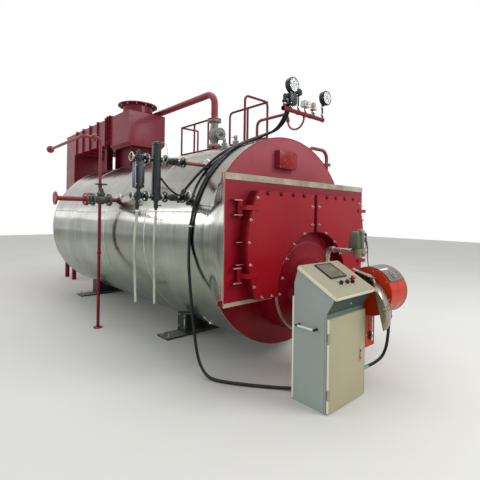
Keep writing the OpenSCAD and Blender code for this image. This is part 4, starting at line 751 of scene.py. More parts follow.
o = gt.done(slot="gas_chrome")
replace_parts(o, "gas_train")

# ---------------------------------------------------------------- burner
DY, DZ = -1.005, -.43
def on_drum(x, deg, r):
    a = radians(deg)
    return V(x, DY + r * cos(a), DZ + r * sin(a))
b = Piece("burner_dressing").paint(orange_in_shade)
# Darker disc on the drum's left face: painted shade.
b.lathe((.03, DY, DZ), LEFT, [(.212, 0), (.211, .0012), (.196, .0018), (.19, .0012)], 64)
b.paint(orange)
b.lathe((.024, DY, DZ), RIGHT, [(.2205, 0), (.2232, .002), (.2232, .012), (.2204, .015)], 72)
b.lathe((.165, DY, DZ), RIGHT, rim(.2202, .2212, .008, .001), 72)
b.paint(pale_strip)
b.lathe((.331, DY, DZ), RIGHT, [(.2203, 0), (.2245, .002), (.2255, .007), (.2235, .0125)], 72)
b.paint(dull_steel)
for k in range(8):
    a = 2 * pi * k / 8 + .2
    b.bolt(on_drum(.0285, degrees(a), .203), LEFT, .009, washer=True, turn=k)
for k in range(6):
    a = 2 * pi * k / 6
    b.bolt(on_drum(.3405, degrees(a), .2), RIGHT, .009, washer=True)
b.lathe((.3401, DY, DZ), RIGHT, [(.1, 0), (.098, .003), (.06, .0035)], 40)
# bare label strip and the round flap on the grey plate
b.paint(white_plastic)
arc = [on_drum(0, d, .2326) for d in (111.2, 112.9, 114.6, 116.2)]
top = [q + (q - V(0, DY, DZ)).normalized() * .0008 for q in arc]
b.skin([[V(x, q.y, q.z) for q in arc + top[::-1]] for x in (.05, .2)])
out = (on_drum(0, 134, 1) - V(0, DY, DZ)).normalized()
b.paint(alloy)
b.lathe(on_drum(.165, 134, .2315), out, [(.036, 0), (.036, .006), (.034, .008), (.025, .008), (.023, .005)], 36)
b.paint(grey_plate)
b.lathe(on_drum(.165, 134, .2315), out, [(.0235, .0), (.0235, .006), (.016, .0075)], 30)
b.paint(grey_plastic)
b.lathe(on_drum(.165, 134, .2315), out, [(.012, .008), (.012, .013), (.008, .014)], 16)
b.paint(dull_steel)
for x in (.058, .312):
    for d in (54, 100, 143):
        b.lathe(on_drum(x, d, .2318), on_drum(0, d, 1) - V(0, DY, DZ), [(.006, 0), (.0055, .002), (.003, .0034)], 10)
# head flange bolts, neck seams
for k in range(8):
    a = 2 * pi * k / 8 + pi / 8
    b.bolt((cos(a) * .195, -.5402, AX + sin(a) * .195), FORE, .014, stud=.008)
b.paint(black_iron)
b.lathe((0, -.5402, AX), FORE, [(.165, 0), (.165, .01), (.158, .014)], 48)
b.lathe((0, -.66, AX), FORE, [(.151, 0), (.158, .003), (.158, .012), (.151, .014)], 48)
b.done(slot="orange_burner")

# linkage between the damper and the drum, seen over the desk
k = Piece("burner_linkage").paint(white_plastic)
run = [(.012, -.845, -.232), (.012, -.89, -.248), (.012, -.96, -.262), (.012, -1.03, -.276)]
for a, c in zip(run, run[1:]):
    k.sweep([a, c], .009, 8)
flat = [V(.006, -.85, -.222), V(.006, -.9, -.238), V(.006, -1, -.262), V(.006, -1.055, -.28), V(.006, -1.06, -.3),
        V(.006, -1, -.284), V(.006, -.9, -.258), V(.006, -.85, -.243)]
k.skin([flat, [q + V(.006, 0, 0) for q in flat]])
k.paint(bright_steel)
for y, z in ((-.87, -.24), (-.955, -.262), (-1.04, -.284)):
    k.bolt((.006, y, z), LEFT, .012, stud=.01)
    k.rod((.012, y, z), (.031, y, z - .004), .008, 12)
k.paint(plastic)
k.skin([[V(x, -.9 + q[0], -.28 + q[1]) for q in ((.03, .012), (-.045, -.008), (-.075, -.03), (-.05, -.05), (.02,
        -.03))] for x in (.004, .028)])
k.skin([[V(x, -1 + q[0], -.312 + q[1]) for q in ((.02, .014), (-.04, .0), (-.06, -.02), (-.03, -.036), (.015,
        -.02))] for x in (-.004, .028)])
k.paint(alloy)
k.lathe((-.012, -1.055, -.3), RIGHT, [(.02, 0), (.024, .004), (.024, .04), (.02, .043)], 20)
k.sweep(curve_through([(-.012, -1.052, -.3), (-.03, -1.075, -.302), (-.042, -1.09, -.315), (-.046, -1.098, -.335)],
                      4), .011, 12)
k.lathe((-.03, -1.085, -.33), (-.4, -.9, .1), [(.016, 0), (.016, .012), (.012, .015)], 6)
k.done(slot="silver_alloy")

# scoop: raised double ridge and dark edge
SC = Matrix.Rotation(radians(-61), 3, "Z") @ Matrix.Rotation(radians(78), 3, "Y")
S0 = V(0, -1.12, -.54)
def on_scoop(u, v, lift=.0):
    """Point on the dome: u, v are fractions of its radius across and along."""
    r = min(.999, hypot(u, v))
    return S0 + SC @ V(u * .215, v * .215, .095 * sqrt(1 - r * r) + lift)
sp = Piece("scoop_dressing").paint(alloy)
for u in (-.075, .075):
    pts = [on_scoop(u, -.95 + 1.6 * i / 30, .001) for i in range(31)]
    sp.sweep(pts, .0055, 8)
sp.paint(black_iron)
pts = [S0 + SC @ V(cos(a) * .2155, sin(a) * .2155, -.003) for a in [2 * pi * i / 96 for i in range(97)]]
pts = [q for q in pts if q.x > -.139]
seg = []
last = None
for q in pts:
    if last is not None and (q - last).length > .05:
        if len(seg) > 2:
            sp.sweep(seg, .0042, 8)
        seg = []
    seg.append(q)
    last = q
if len(seg) > 2:
    sp.sweep(seg, .0042, 8)
sp.done(slot="silver_alloy")

lb = Piece("burner_foot_fittings").paint(bright_steel)
lb.rod((.128, -.99, -.648), (.128, -.985, -.9), .0058, 12)
lb.lathe((.128, -.988, -.84), DOWN, rim(.007, .0105, .024, .004), 6)
lb.lathe((.128, -.9855, -.885), DOWN, [(.007, 0), (.012, .004), (.012, .022), (.008, .03)], 16)
lb.paint(black_iron)
lb.block(.098, .124, -.985, -.968, -.9, -.825, .003)
lb.lathe((.111, -.984, -.86), FORE, [(.011, 0), (.011, .008), (.006, .012)], 14)
lb.paint(brass)
lb.lathe((.03, -.97, -.845), FORE, [(.012, 0), (.012, .01), (.007, .014)], 6)
# dark orange arches on the body's sides: painted shade lines
lb.paint(orange_in_shade)
for x in (-.1005, .2005):
    arch = [(-.9678, -.968)] + [(-.835 + cos(a) * .1325,
                                 -.685 + sin(a) * .1325) for a in [pi - pi * i / 16 for i in range(17)]] + [(-.7022,
                                         -.968)]
    lb.sweep([(x, q[0], q[1]) for q in arch], .004, 6)
lb.done(slot="orange_burner")

# ---------------------------------------------------------------- control desk
SLOPE = radians(28.495)
LID = Matrix.Rotation(SLOPE, 3, "X")
L0 = V(-.736, -.775, -.147)
LW, LL, LT = .588, .438, .034
def lid(a, d, h=.0):
    return L0 + LID @ V(a, -d, h)
def lid_block(p, a0, a1, d0, d1, h0, h1, c=.0):
    m, ha, hd, hh = lid((a0 + a1) / 2, (d0 + d1) / 2, (h0 + h1) / 2), (a1 - a0) / 2, (d1 - d0) / 2, (h1 - h0) / 2
    p.block(m.x - ha, m.x + ha, m.y - hd, m.y + hd, m.z - hh, m.z + hh, c, LID)
UPN = LID @ V(0, 0, 1)

dt = Piece("desk_lid_dressing").paint(lid_edge)
lid_block(dt, -.0016, .0004, .002, LL - .002, -LT + .001, -.0015, .0007)
lid_block(dt, LW - .0004, LW + .0016, .002, LL - .002, -LT + .001, -.0015, .0007)
lid_block(dt, .001, LW - .001, LL - .0004, LL + .0016, -LT + .001, -.0015, .0007)
lid_block(dt, .001, LW - .001, -.0016, .0004, -LT + .001, -.0015, .0007)
dt.paint(desk_lid)
dt.sweep([lid(.0015, .002, -.0012), lid(.0015, LL - .0015, -.0012), lid(LW - .0015, LL - .0015, -.0012),
          lid(LW - .0015, .002, -.0012)], .0022, 8)
dt.paint(plastic)
S, FR = (.181, .421, .029, .228), .0095
for a0, a1, d0, d1 in ((S[0], S[1], S[2], S[2] + FR), (S[0], S[1], S[3] - FR, S[3]),
                       (S[0], S[0] + FR, S[2] + FR, S[3] - FR), (S[1] - FR, S[1], S[2] + FR, S[3] - FR)):
    lid_block(dt, a0, a1, d0, d1, .0075, .0112, .0012)
dt.paint(grey_plastic)
lid_block(dt, S[0] + .009, S[1] - .009, S[2] + .009, S[3] - .009, .0078, .0086, 0)
dt.paint(screen_glass)
lid_block(dt, S[0] + .012, S[1] - .012, S[2] + .012, S[3] - .012, .0082, .0094, .0003)
dark_red_handle = surface("dark_red_handle", (110, 20, 24), .3, vary=.15, scale=30, coat=.3)
for (a, d), grip in zip(((.225, .302), (.316, .304), (.378, .316)), (plastic, dark_red_handle, plastic)):
    dt.paint(bright_steel)
    dt.lathe(lid(a, d, 0), UPN, [(.0195, 0), (.0195, .003), (.0178, .004)], 28)
    dt.paint(plastic)
    dt.lathe(lid(a, d, .0155), UPN, [(.0172, 0), (.0172, .004), (.0155, .0055)], 28)
    dt.paint(grip)
    lid_block(dt, a - .0052, a + .0052, d - .017, d + .017, .019, .034, .003)
dt.paint(red_plastic)
dt.lathe(lid(.44, .277, .0178), UPN, [(.0205, 0), (.0218, .002), (.0222, .009), (.0205, .0135), (.014, .0162), (.006,
        .017)], 36)
dt.paint(plastic)
dt.lathe(lid(.44, .277, 0), UPN, [(.0185, 0), (.0185, .004), (.0145, .006), (.0135, .0175)], 28)
dt.paint(grey_plastic)
for a, d in ((.225, .27), (.316, .272), (.378, .284)):
    lid_block(dt, a - .016, a + .016, d - .0045, d + .0045, .0, .0011, .0003)
dt.paint(dull_steel)
for a in (.012, LW - .012):
    for d in (.02, LL - .02):
        dt.lathe(lid(a, d, 0), UPN, [(.0045, 0), (.004, .0015), (.002, .0022)], 10)
dt.done(slot="desk_beige")

db = Piece("desk_body_dressing").paint(desk_dark)
X0, X1 = -.7185, -.1655
def strip(p, pts, t):
    """Sheet of thickness t along a folded line in the YZ plane, as wide as the desk's front."""
    up_ = []
    for i, q in enumerate(pts):
        a = Vector(pts[max(i - 1, 0)])
        c = Vector(pts[min(i + 1, len(pts) - 1)])
        d = (c - a).normalized()
        up_.append(Vector(q) + Vector((-d.y, d.x)) * t)
    loop = [Vector(q) for q in pts] + list(reversed(up_))
    p.skin([[V(x, q.x, q.y) for q in loop] for x in (X0, X1)])
strip(db, [(-1.0522, -.5105), (-1.1152, -.4005), (-1.1152, -.372)], .0014)
db.paint(surface("desk_front_grey", (92, 106, 104), .46, vary=.06, scale=2, bump=.25, grain=700))
strip(db, [(-1.0522, -.543), (-1.0522, -.512)], .0013)
db.paint(white_plastic)
nrm = V(0, -.868, -.497)
db.lathe((-.42, -1.0855, -.456), nrm, [(.0065, 0), (.006, .003), (.003, .0045)], 14)
# handle on the side
db.sweep([(-.758, -.948, -.648), (-.758, -.792, -.648)], .0088, 16)
db.paint(plastic)
for y in (-.96, -.78):
    db.lathe((-.7202, y, -.648), LEFT, [(.012, 0), (.012, .004), (.0086, .006), (.0086, .0455)], 18)
    db.lathe((-.758, y - .009, -.648), AFT, [(.0082, 0), (.0098, .003), (.0098, .0165), (.0088, .0195)], 18)
# folded edges of the sides, and their seams
db.paint(desk_grey)
for x0, x1 in ((-.7212, -.7198), (-.1642, -.1628)):
    db.block(x0, x1, -1.05, -1.036, -1.303, -.513, .0005)
    db.block(x0, x1, -.734, -.7205, -1.303, -.33, .0005)
db.paint(desk_dark)
for x0, x1 in ((-.7206, -.7199), (-.1641, -.1634)):
    db.block(x0, x1, -1.0352, -1.0338, -1.3, -.51, 0)
db.paint(dull_steel)
for z in (-1.27, -.78, -.44):
    for x, axis in ((-.7202, LEFT), (-.1638, RIGHT)):
        db.lathe((x, -.76, z), axis, [(.0042, 0), (.0038, .0015), (.002, .0022)], 10)
db.paint(plastic)
for x in (-.69, -.194):
    for y in (-1.02, -.75):
        db.lathe((x, y, -1.3049), UP, [(.022, 0), (.02, .006)], 18)
db.done(slot="desk_grey")

dd = Piece("desk_door_dressing", "desk_door").paint(lid_edge)
lo, hi = [V(*q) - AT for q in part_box("desk_door")]
# the edge beside the hinges, in three lengths that leave the body's hinge lugs free
for z0, z1 in ((lo.z + .001, -1.1935), (-1.1065, -.7435), (-.6565, hi.z - .001)):
    dd.block(lo.x + .001, lo.x + .0026, hi.y - .0195, hi.y - .0004, z0, z1, .0003)
dd.paint(desk_cream)
for x0, x1, z0, z1 in ((-.7165, -.1655, -.556, -.5465), (-.7165, -.1655, -1.2935, -1.284),
                       (-.1745, -.1655, -1.284, -.556)):
    dd.block(x0, x1, -1.0768, -1.0746, z0, z1, .0008)
dd.paint(dull_steel)
dd.block(-.262, -.218, -1.0788, -1.0746, -.992, -.858, .0016)
dd.paint(plastic)
dd.block(-.2525, -.2275, -1.0802, -1.0785, -.972, -.89, .0008)
dd.paint(bright_steel)
dd.block(-.2455, -.2345, -1.0835, -1.08, -.966, -.905, .0016)
dd.lathe((-.24, -1.0785, -.874), FORE, [(.0085, 0), (.008, .003), (.004, .0036)], 18)
dd.done(slot="desk_cream")

# ---------------------------------------------------------------- gauges and switches over the front
def thick(p, q, t):
    """Mark with four corners, made t thick towards the rear."""
    p.add(q + [c + V(0, t, 0) for c in q],
          [[0, 1, 2, 3], [7, 6, 5, 4], [0, 4, 5, 1], [1, 5, 6, 2], [2, 6, 7, 3], [3, 7, 4, 0]])

def dial(p, at, r, turn, ticks=27):
    """Round gauge facing the front: rim, white face, marks and hand."""
    x, y, z = at
    n = FORE
    p.paint(plastic)
    p.lathe((x, y + .012, z), n, [(r + .0015, 0), (r + .004, .003), (r + .004, .010), (r + .001, .013)], 48)
    p.lathe((x, y - .0005, z), n, [(r, 0), (r + .001, .004), (r - .003, .0085), (r - .007, .0085), (r - .0085, .003)],
            48)
    p.paint(dial_white)
    p.lathe((x, y - .001, z), n, [(r - .0085, 0), (r - .0085, .0042)], 48)
    p.paint(ink)
    for k in range(ticks):
        a = radians(225 - 270 * k / (ticks - 1))
        ln = .012 if k % 5 == 0 else .007
        w_ = .0016 if k % 5 == 0 else .0008
        u, t = V(cos(a), 0, sin(a)), V(-sin(a), 0, cos(a))
        c = V(x, y - .0057, z) + u * (r - .012)
        q = [c + t * w_, c - t * w_, c - u * ln - t * w_, c - u * ln + t * w_]
        thick(p, q, .0004)
    a = radians(turn)
    u, t = V(cos(a), 0, sin(a)), V(-sin(a), 0, cos(a))
    c = V(x, y - .0072, z)
    q = [c - u * r * .25 + t * .0022, c - u * r * .25 - t * .0022, c + u * (r * .72), c + u * (r * .72) + t * .0004]
    thick(p, q, .0008)
    p.lathe((x, y - .0053, z), n, [(.0055, 0), (.0055, .003), (.003, .0042)], 16)

gp = Piece("gauge_faces")
dial(gp, (-.25, -.29, 1.632), .078, 215)
dial(gp, (.335, -.29, 1.625), .078, 62)
gp.lathe((-.10, -.248, 1.60), FORE, [(.038, -.004), (.039, 0), (.036, .005), (.02, .008), (.006, .009)], 36)
gp.paint(glass)
for x, y, z, r in ((-.25, -.2992, 1.632, .0705), (.335, -.2992, 1.625, .0705)):
    gp.lathe((x, y, z), FORE, [(r, 0), (r, .0006), (r * .6, .0012)], 40)
gp.paint(dull_steel)
for x, z in ((-.25, 1.632), (.335, 1.625)):
    gp.lathe((x, -.24, z), AFT, [(.07, 0), (.06, .006), (.03, .009)], 36)
    gp.lathe((x, -.231, z - .03), AFT, [(.014, 0), (.014, .004), (.010, .006)], 12)
gp.lathe((.335, -.23, 1.515), UP, rim(.017, .019, .02, .002), 6)
gp.lathe((.335, -.23, 1.43), UP, rim(.017, .02, .022, .002), 6)
gp.lathe((-.10, -.23, 1.43), UP, rim(.013, .015, .018, .002), 6)
gp.done(slot="dial_case")

rose_plastic = surface("rose_cap_plastic", (190, 140, 130), .4, vary=.1, scale=20, bump=.1)
sw = Piece("switch_dressing").paint(plastic)
sw.block(-.2845, -.1775, -.2795, -.2745, 1.4325, 1.5535, .003)
sw.lathe((-.2823, -.222, 1.5), LEFT, [(.026, 0), (.026, .012), (.022, .016)], 24)
sw.paint(bright_steel)
for x in (-.277, -.185):
    for z in (1.44, 1.546):
        sw.lathe((x, -.2795, z), FORE, [(.0048, 0), (.0044, .002), (.002, .003)], 10)
for x in (-.212, -.25):
    sw.lathe((x, -.188, 1.4352), DOWN, [(.021, 0), (.021, .006), (.0195, .008)], 6)
sw.lathe((-.23, -.23, 1.4325), DOWN, rim(.0145, .0175, .016, .002), 6)
sw.lathe((-.298, -.222, 1.5), LEFT, [(.012, 0), (.014, .002), (.014, .008), (.01, .01)], 8)
sw.paint(white_plastic)
sw.block(-.0228, .0728, -.2608, -.1992, 1.4642, 1.5308, .007)
sw.paint(grey_plastic)
sw.block(-.008, .03, -.2616, -.2604, 1.478, 1.518, .002)
sw.lathe((.05, -.2604, 1.5), FORE, [(.008, 0), (.008, .003), (.006, .004)], 16)
sw.lathe((.025, -.23, 1.5305), UP, [(.012, 0), (.012, .006), (.009, .008)], 18)
sw.paint(bright_steel)
sw.lathe((.02, -.23, 1.43), UP, rim(.014, .0165, .018, .002), 6)
sw.lathe((.165, -.23, 1.43), UP, rim(.026, .0275, .018, .002), 6)
sw.lathe((.165, -.23, 1.4768), UP, rim(.0232, .026, .021, .003), 6)
sw.paint(zinc)
sw.lathe((.165, -.23, 1.464), UP, rim(.037, .0385, .013, .002), 30)
sw.paint(rose_plastic)
sw.lathe((.165, -.23, 1.48), UP, [(.0265, 0), (.0275, .004), (.0275, .05), (.0235, .056)], 24)
sw.lathe((.165, -.23, 1.533), UP, [(.0215, 0), (.0215, .01), (.014, .016), (.006, .018)], 20)
sw.done(slot="dark_plastic")

mf = Piece("manifold_fittings").paint(dark_crimson)
for x in (-.32, -.23, -.10, .02, .165, .335):
    mf.lathe((x, -.23, 1.399), UP, [(.0225, 0), (.017, .012), (.0125, .015)], 18)
for e in (-1, 1):
    mf.lathe((e * .346, -.23, 1.385), (e, 0, 0), [(.0225, -.018), (.0268, -.016), (.0268, .002), (.022, .004)], 8,
             pi / 8)
for x in (-.105, .105):
    mf.lathe((x - .013, -.23, 1.385), RIGHT, rim(.0226, .027, .026, .003), 20)
mf.paint(zinc)
mf.lathe((-.32, -.23, 1.4305), UP, rim(.0125, .0145, .016, .002), 6)
mf.lathe((-.32, -.262, 1.47), FORE, [(.011, 0), (.011, .008), (.007, .01)], 6)
mf.paint(black_iron)
mf.block(-.328, -.312, -.276, -.27, 1.42, 1.478, .002)
mf.done(slot="dark_crimson_paint")

# ---------------------------------------------------------------- bolts of flanges
def flange_bolts(p, at, axis, circle, n, d=.014, t=.0, stud=.006, first=.0):
    """Nuts round a flange on its face at 'at', and on the far face t behind it."""
    u, v, w_ = frame_of(axis)
    for k_ in range(n):
        a = 2 * pi * (k_ + first) / n
        q = Vector(at) + (u * cos(a) + v * sin(a)) * circle / 2
        p.bolt(q, w_, d, stud=stud, washer=False, turn=a)
        if t:
            p.bolt(q - w_ * t, -w_, d, stud=0, washer=False, turn=a)

fb = Piece("steam_line_bolts").paint(dull_steel)
flange_bolts(fb, (.4, 1.88, 1.795), UP, .18, 8, .015, .048, first=.5)
flange_bolts(fb, (.4, 1.88, 1.381), UP, .18, 8, .015, .048, first=.5)
for k_ in range(8):
    a = 2 * pi * (k_ + .5) / 8
    q = V(.4 + cos(a) * .078, 1.706, 1.539 + sin(a) * .078)
    fb.bolt(q, FORE, .013, stud=.008, washer=False)
    fb.bolt(q + V(0, .054, 0), AFT, .013, stud=.006, washer=False)
    fb.rod(q, q + V(0, .054, 0), .006, 8)
fb.paint(casting)
fb.lathe((.4, 1.706, 1.539), FORE, [(.045, 0), (.04, .012), (.02, .02), (.018, .05), (.012, .053)], 24)
fb.lathe((.4, 1.648, 1.539), FORE, [(.024, 0), (.026, .003), (.026, .014), (.022, .017)], 6)
fb.paint(pipe_red)
fb.lathe((.4, 1.88, 1.08), UP, [(.0545, 0), (.0545, .2525)], 32)
fb.lathe((.4, 1.88, 1.3325), UP, [(.1105, 0), (.1105, .0242)], 40)
fb.lathe((.4, 1.88, 1.81), UP, [(.056, -.012), (.0565, -.006), (.055, 0)], 32)
fb.done(slot="grey_casting")

fd = Piece("feed_line_bolts").paint(dull_steel)
for x0, x1 in ((-1.166, -1.198), (-1.388, -1.416), (-1.475, -1.507)):
    for a in DIAGONALS:
        y, z = 2.15 + cos(a) * .0625, .45 + sin(a) * .0625
        fd.bolt((x0, y, z), RIGHT, .015, stud=.006, washer=False)
        fd.bolt((x1, y, z), LEFT, .015, stud=.008, washer=False)
        fd.rod((x0, y, z), (x1, y, z), .0075, 8)
for a in DIAGONALS:
    fd.bolt((-1.293 + cos(a) * .046, 2.15 + sin(a) * .046, .542), UP, .011, stud=.006, washer=False)
fd.lathe((-1.293, 2.15, .575), UP, [(.018, 0), (.02, .003), (.02, .016), (.014, .02)], 6)
fd.paint(black_iron)
for s_ in (-1, 1):
    fd.rod((-1.293 + s_ * .032, 2.15, .542), (-1.293 + s_ * .022, 2.15, .6), .0065, 10)
fd.paint(green_iron)
fd.lathe((-1.4455, 2.15, .45), UP, [(.05, .04), (.042, .075), (.03, .082), (.012, .086)], 24)
fd.done(slot="black_valve")

gv = Piece("gauge_valve_bolts").paint(dull_steel)
for z in COCKS:
    for x0, x1 in ((-1.110, -1.124), (-1.316, -1.330)):
        for a in DIAGONALS:
            y, zz = .44 + cos(a) * .041, z + sin(a) * .041
            gv.bolt((x0, y, zz), RIGHT, .012, stud=.004, washer=False)
            gv.bolt((x1, y, zz), LEFT, .012, stud=.005, washer=False)
    for x, r in ((-1.345, .0222), (-1.497, .0222)):
        gv.lathe((x, .44, z), LEFT, [(r, 0), (r + .0085, .003), (r + .0085, .022), (r, .025)], 6)
    gv.lathe((-1.655, .44, z), LEFT, rim(.0172, .0235, .021, .003), 6)
    # packing nut and lever of each shut-off valve
    gv.paint(black_iron)
    gv.lathe((-1.22, .4, z), FORE, [(.028, 0), (.028, .02), (.02, .026), (.012, .03), (.012, .045)], 20)
    gv.block(-1.236, -1.204, .352, .36, z - .055, z + .012, .003)
    gv.paint(dull_steel)
    gv.lathe((-1.22, .352, z), FORE, [(.009, 0), (.009, .005), (.006, .006)], 6)
gv.paint(black_iron)
gv.lathe((-1.42, .44, .954), UP, [(.0445, 0), (.036, .0), (.036, .012), (.02, .02), (.008, .022)], 24)
for z in (.405, .935):
    gv.lathe((-1.42, .44, z), UP, rim(.0448, .049, .018, .003), 32)
gv.done(slot="black_valve")

dark_iron_face = surface("gauge_cover_iron", (52, 58, 66), .4, .4, vary=.25, scale=20, dust=.3, bump=.3, grain=180)
GX, GY, CX = -1.605, .44, -1.42
lg = Piece("level_gauge").paint(black_iron)
for z, s_ in ((.8, 1), (.44, -1)):
    lg.lathe((GX, GY, z - .03 if s_ > 0 else z - .028), UP, [(.024, 0), (.033, .004), (.033, .052), (.026, .058)], 24)
    lg.lathe((GX, GY, z + s_ * .03), (0, 0, s_), [(.021, 0), (.021, .01), (.024, .011), (.024, .026), (.012,
            .03)] if s_ > 0 else
             [(.02, -.004), (.02, .0)], 6)
    lg.lathe((GX, GY, z - s_ * .024), (0, 0, -s_), [(.027, 0), (.027, .012), (.019, .014), (.019, .04), (.03, .042),
                                                    (.03, .052)], 24)
    lg.rod((GX - .02, GY, z), (GX - .048, GY, z), .017, 20)
    lg.rod((GX + .02, GY, z), (GX + .06, GY, z), .02, 20)
    for x in (GX + .052, GX + .0685):
        lg.lathe((x, GY, z), RIGHT, rim(.047, .05, .014, .002), 36)
    lg.paint(white_plastic)
    for a in DIAGONALS:
        q = V(GX + .052, GY + .038 * cos(a), z + .038 * sin(a))
        lg.bolt(q, LEFT, .012, washer=False, turn=a)
        lg.bolt(q + V(.0305, 0, 0), RIGHT, .012, washer=False, turn=a)
    lg.paint(black_iron)
lg.lathe((GX, GY, .83), UP, [(.02, 0), (.02, .02), (.014, .03), (.008, .048)], 18)
lg.paint(navy)
lg.block(GX - .047, GX + .047, GY - .034, GY + .04, .515, .756, .008)
lg.paint(dark_iron_face)
lg.block(GX - .026, GX + .02, GY - .048, GY - .03, .522, .749, .004)
lg.paint(dull_steel)
for z in (.548, .723):
    for s_ in (-1, 1):
        lg.lathe((GX + s_ * .036, GY - .0335, z), FORE, [(.006, 0), (.006, .005), (.004, .0065)], 6)
# White strip down the box's front left edge: painted highlight.
lg.paint(dial_white)
lg.block(GX - .0478, GX - .0452, GY - .0348, GY - .03, .52, .752, .0008)
lg.paint(screen_glass)
lg.block(GX - .006, GX + .004, GY - .0492, GY - .047, .535, .736, 0)
lg.paint(ink)
for i in range(11):
    lg.block(GX - .0058, GX - .001, GY - .0496, GY - .0488, .545 + .018 * i, .5465 + .018 * i, 0)
lg.paint(glass)
lg.block(GX - .008, GX + .006, GY - .0508, GY - .0499, .531, .74, 0)
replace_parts(lg.done(slot="navy_gauge"), "level_glass")

for z, body in ((.8, "upper_gauge_handwheel"), (.44, "lower_gauge_handwheel")):
    w = Piece(body + "_rim", body).paint(black_iron)
    x = GX - .048 - .027
    w.rod((GX - .0785, GY, z), (x - .0105, GY, z), .007, 14)
    w.lathe((x + .004, GY, z), LEFT, [(.012, 0), (.013, .003), (.013, .01), (.009, .0125)], 16)
    for k in range(4):
        a = pi / 2 * k + .35
        w.rod((x, GY, z), (x, GY + .039 * cos(a), z + .039 * sin(a)), .0042, 8)
    w.paint(zinc)
    w.sweep([(x, GY + .0395 * cos(a), z + .0395 * sin(a)) for a in [2 * pi * k / 40 for k in range(41)]], .0054, 10)
    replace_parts(w.done(slot="black_valve"), body)

dr = Piece("gauge_drain_pipes")
for x, z0, z1, lean in ((CX, -.6, .405, -.012), (GX - .012, -.55, .425, -.02)):
    dr.paint(black_iron)
    dr.lathe((x, GY, z1 - .026), UP, [(.015, 0), (.024, .002), (.024, .02), (.015, .024)], 6)
    dr.rod((x, GY, .3), (x, GY, z1 - .02), .0145, 18)
    dr.lathe((x, GY, .325), UP, rim(.017, .0205, .054, .004), 20)
    dr.lathe((x, GY - .018, .352), FORE, [(.012, 0), (.012, .016), (.009, .018)], 6)
    dr.rod((x, GY - .03, .352), (x + .012, GY - .078, .352), .0065, 10)
    dr.paint(white_plastic)
    dr.lathe((x, GY, .293), UP, [(.0135, 0), (.0175, .002), (.0175, .014), (.0135, .017)], 6)
    dr.paint(zinc)
    dr.sweep(curve_through([(x, GY, .3), (x + lean * .2, GY, .2), (x + lean, GY, 0), (x + lean * .6, GY, -.25), (x,
            GY, z0)], 6), .0125, 18)
    dr.lathe((x, GY, z0), UP, rim(.0125, .0138, .014, .002), 18)
dr.paint(zinc)
dr.sweep(curve_through([(CX + .02, GY - .03, .945), (CX + .03, GY - .05, .962), (CX + .05, GY - .075, .95),
                        (CX + .062, GY - .09, .9),
                        (CX + .066, GY - .095, .82), (CX + .062, GY - .088, .78), (CX + .05, GY - .05,
                                .77), (CX + .04, GY - .02, .77)], 6), .0032, 8)
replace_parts(dr.done(slot="pale_pipe"), "gauge_drains")

# ---------------------------------------------------------------- chimney, duct and saddles
ch = Piece("flue_bolts").paint(dull_steel)
for k_ in range(12):
    a = 2 * pi * k_ / 12
    ch.bolt((.32 * cos(a), 3.745 + .32 * sin(a), 2.2898), DOWN, .016, stud=.012)
    ch.rod((.32 * cos(a), 3.745 + .32 * sin(a), 2.2898), (.32 * cos(a), 3.745 + .32 * sin(a), 2.3095), .0078, 10)
for y in (4.139, 4.261):
    for s_ in (-1, 1):
        for i_ in range(5):
            ch.bolt((s_ * .352, y, 1.66 + .1 * i_), (0, -1 if y < 4.2 else 1, 0), .014, stud=.004, washer=False)
ch.paint(dark_crimson)
# weld beads at the edges of the chimney box and the duct
for x in (-.36, .36):
    for z in (2.1, 1.542):
        ch.sweep([(x, 3.352, z), (x, 4.138, z)], .0035, 6)
for x in (-.36, .36):
    ch.sweep([(x, 4.262, 2.099), (x, 6.778, 2.099)], .0035, 6)
    ch.sweep([(x, 4.262, 1.611), (x, 6.19, 1.611)], .0035, 6)
ch.lathe((0, 3.745, 2.1), UP, [(.2735, 0), (.275, .003), (.271, .008)], 72)
ch.lathe((0, 3.745, 2.284), UP, [(.271, 0), (.275, .003), (.274, .006)], 72)
ch.paint(black_iron)
ch.block(-.372, -.36, 4.17, 4.235, 1.615, 1.665, .003)
ch.lathe((-.372, 4.2, 1.64), LEFT, [(.018, 0), (.018, .02), (.012, .025)], 16)
ch.block(-.405, -.395, 4.193, 4.207, 1.6, 1.65, .002)
ch.paint(bright_steel)
for y in (4.178, 4.227):
    ch.bolt((-.3722, y, 1.64), LEFT, .01, washer=False)
ch.done(slot="dark_crimson_paint")

sd = Piece("saddle_fittings").paint(dull_steel)
for y in SADDLES:
    for sx in (-1, 1):
        for row in (-1, 1):
            sd.bolt((sx * .74, y + row * .07, -1.2848), UP, .02, stud=.028, turn=.3 * row)
sd.paint(side_plate)
sd.block(-.505, -.4995, 1.262, 1.438, -1.235, -1.045, .002)
sd.paint(white_plastic)
sd.block(-.5085, -.5048, 1.283, 1.295, -1.19, -1.1, .001)
sd.paint(dull_steel)
for z in (-1.215, -1.065):
    for y in (1.285, 1.415):
        sd.bolt((-.505, y, z), LEFT, .012, washer=True)
sd.paint(black_paint)
for y in SADDLES:
    for s_ in (-1, 1):
        for e in (-1, 1):
            sd.sweep([(-.5, y + e * .1, -1.2835), (.5, y + e * .1, -1.2835)], .005, 6)
sd.done(slot="black_paint")

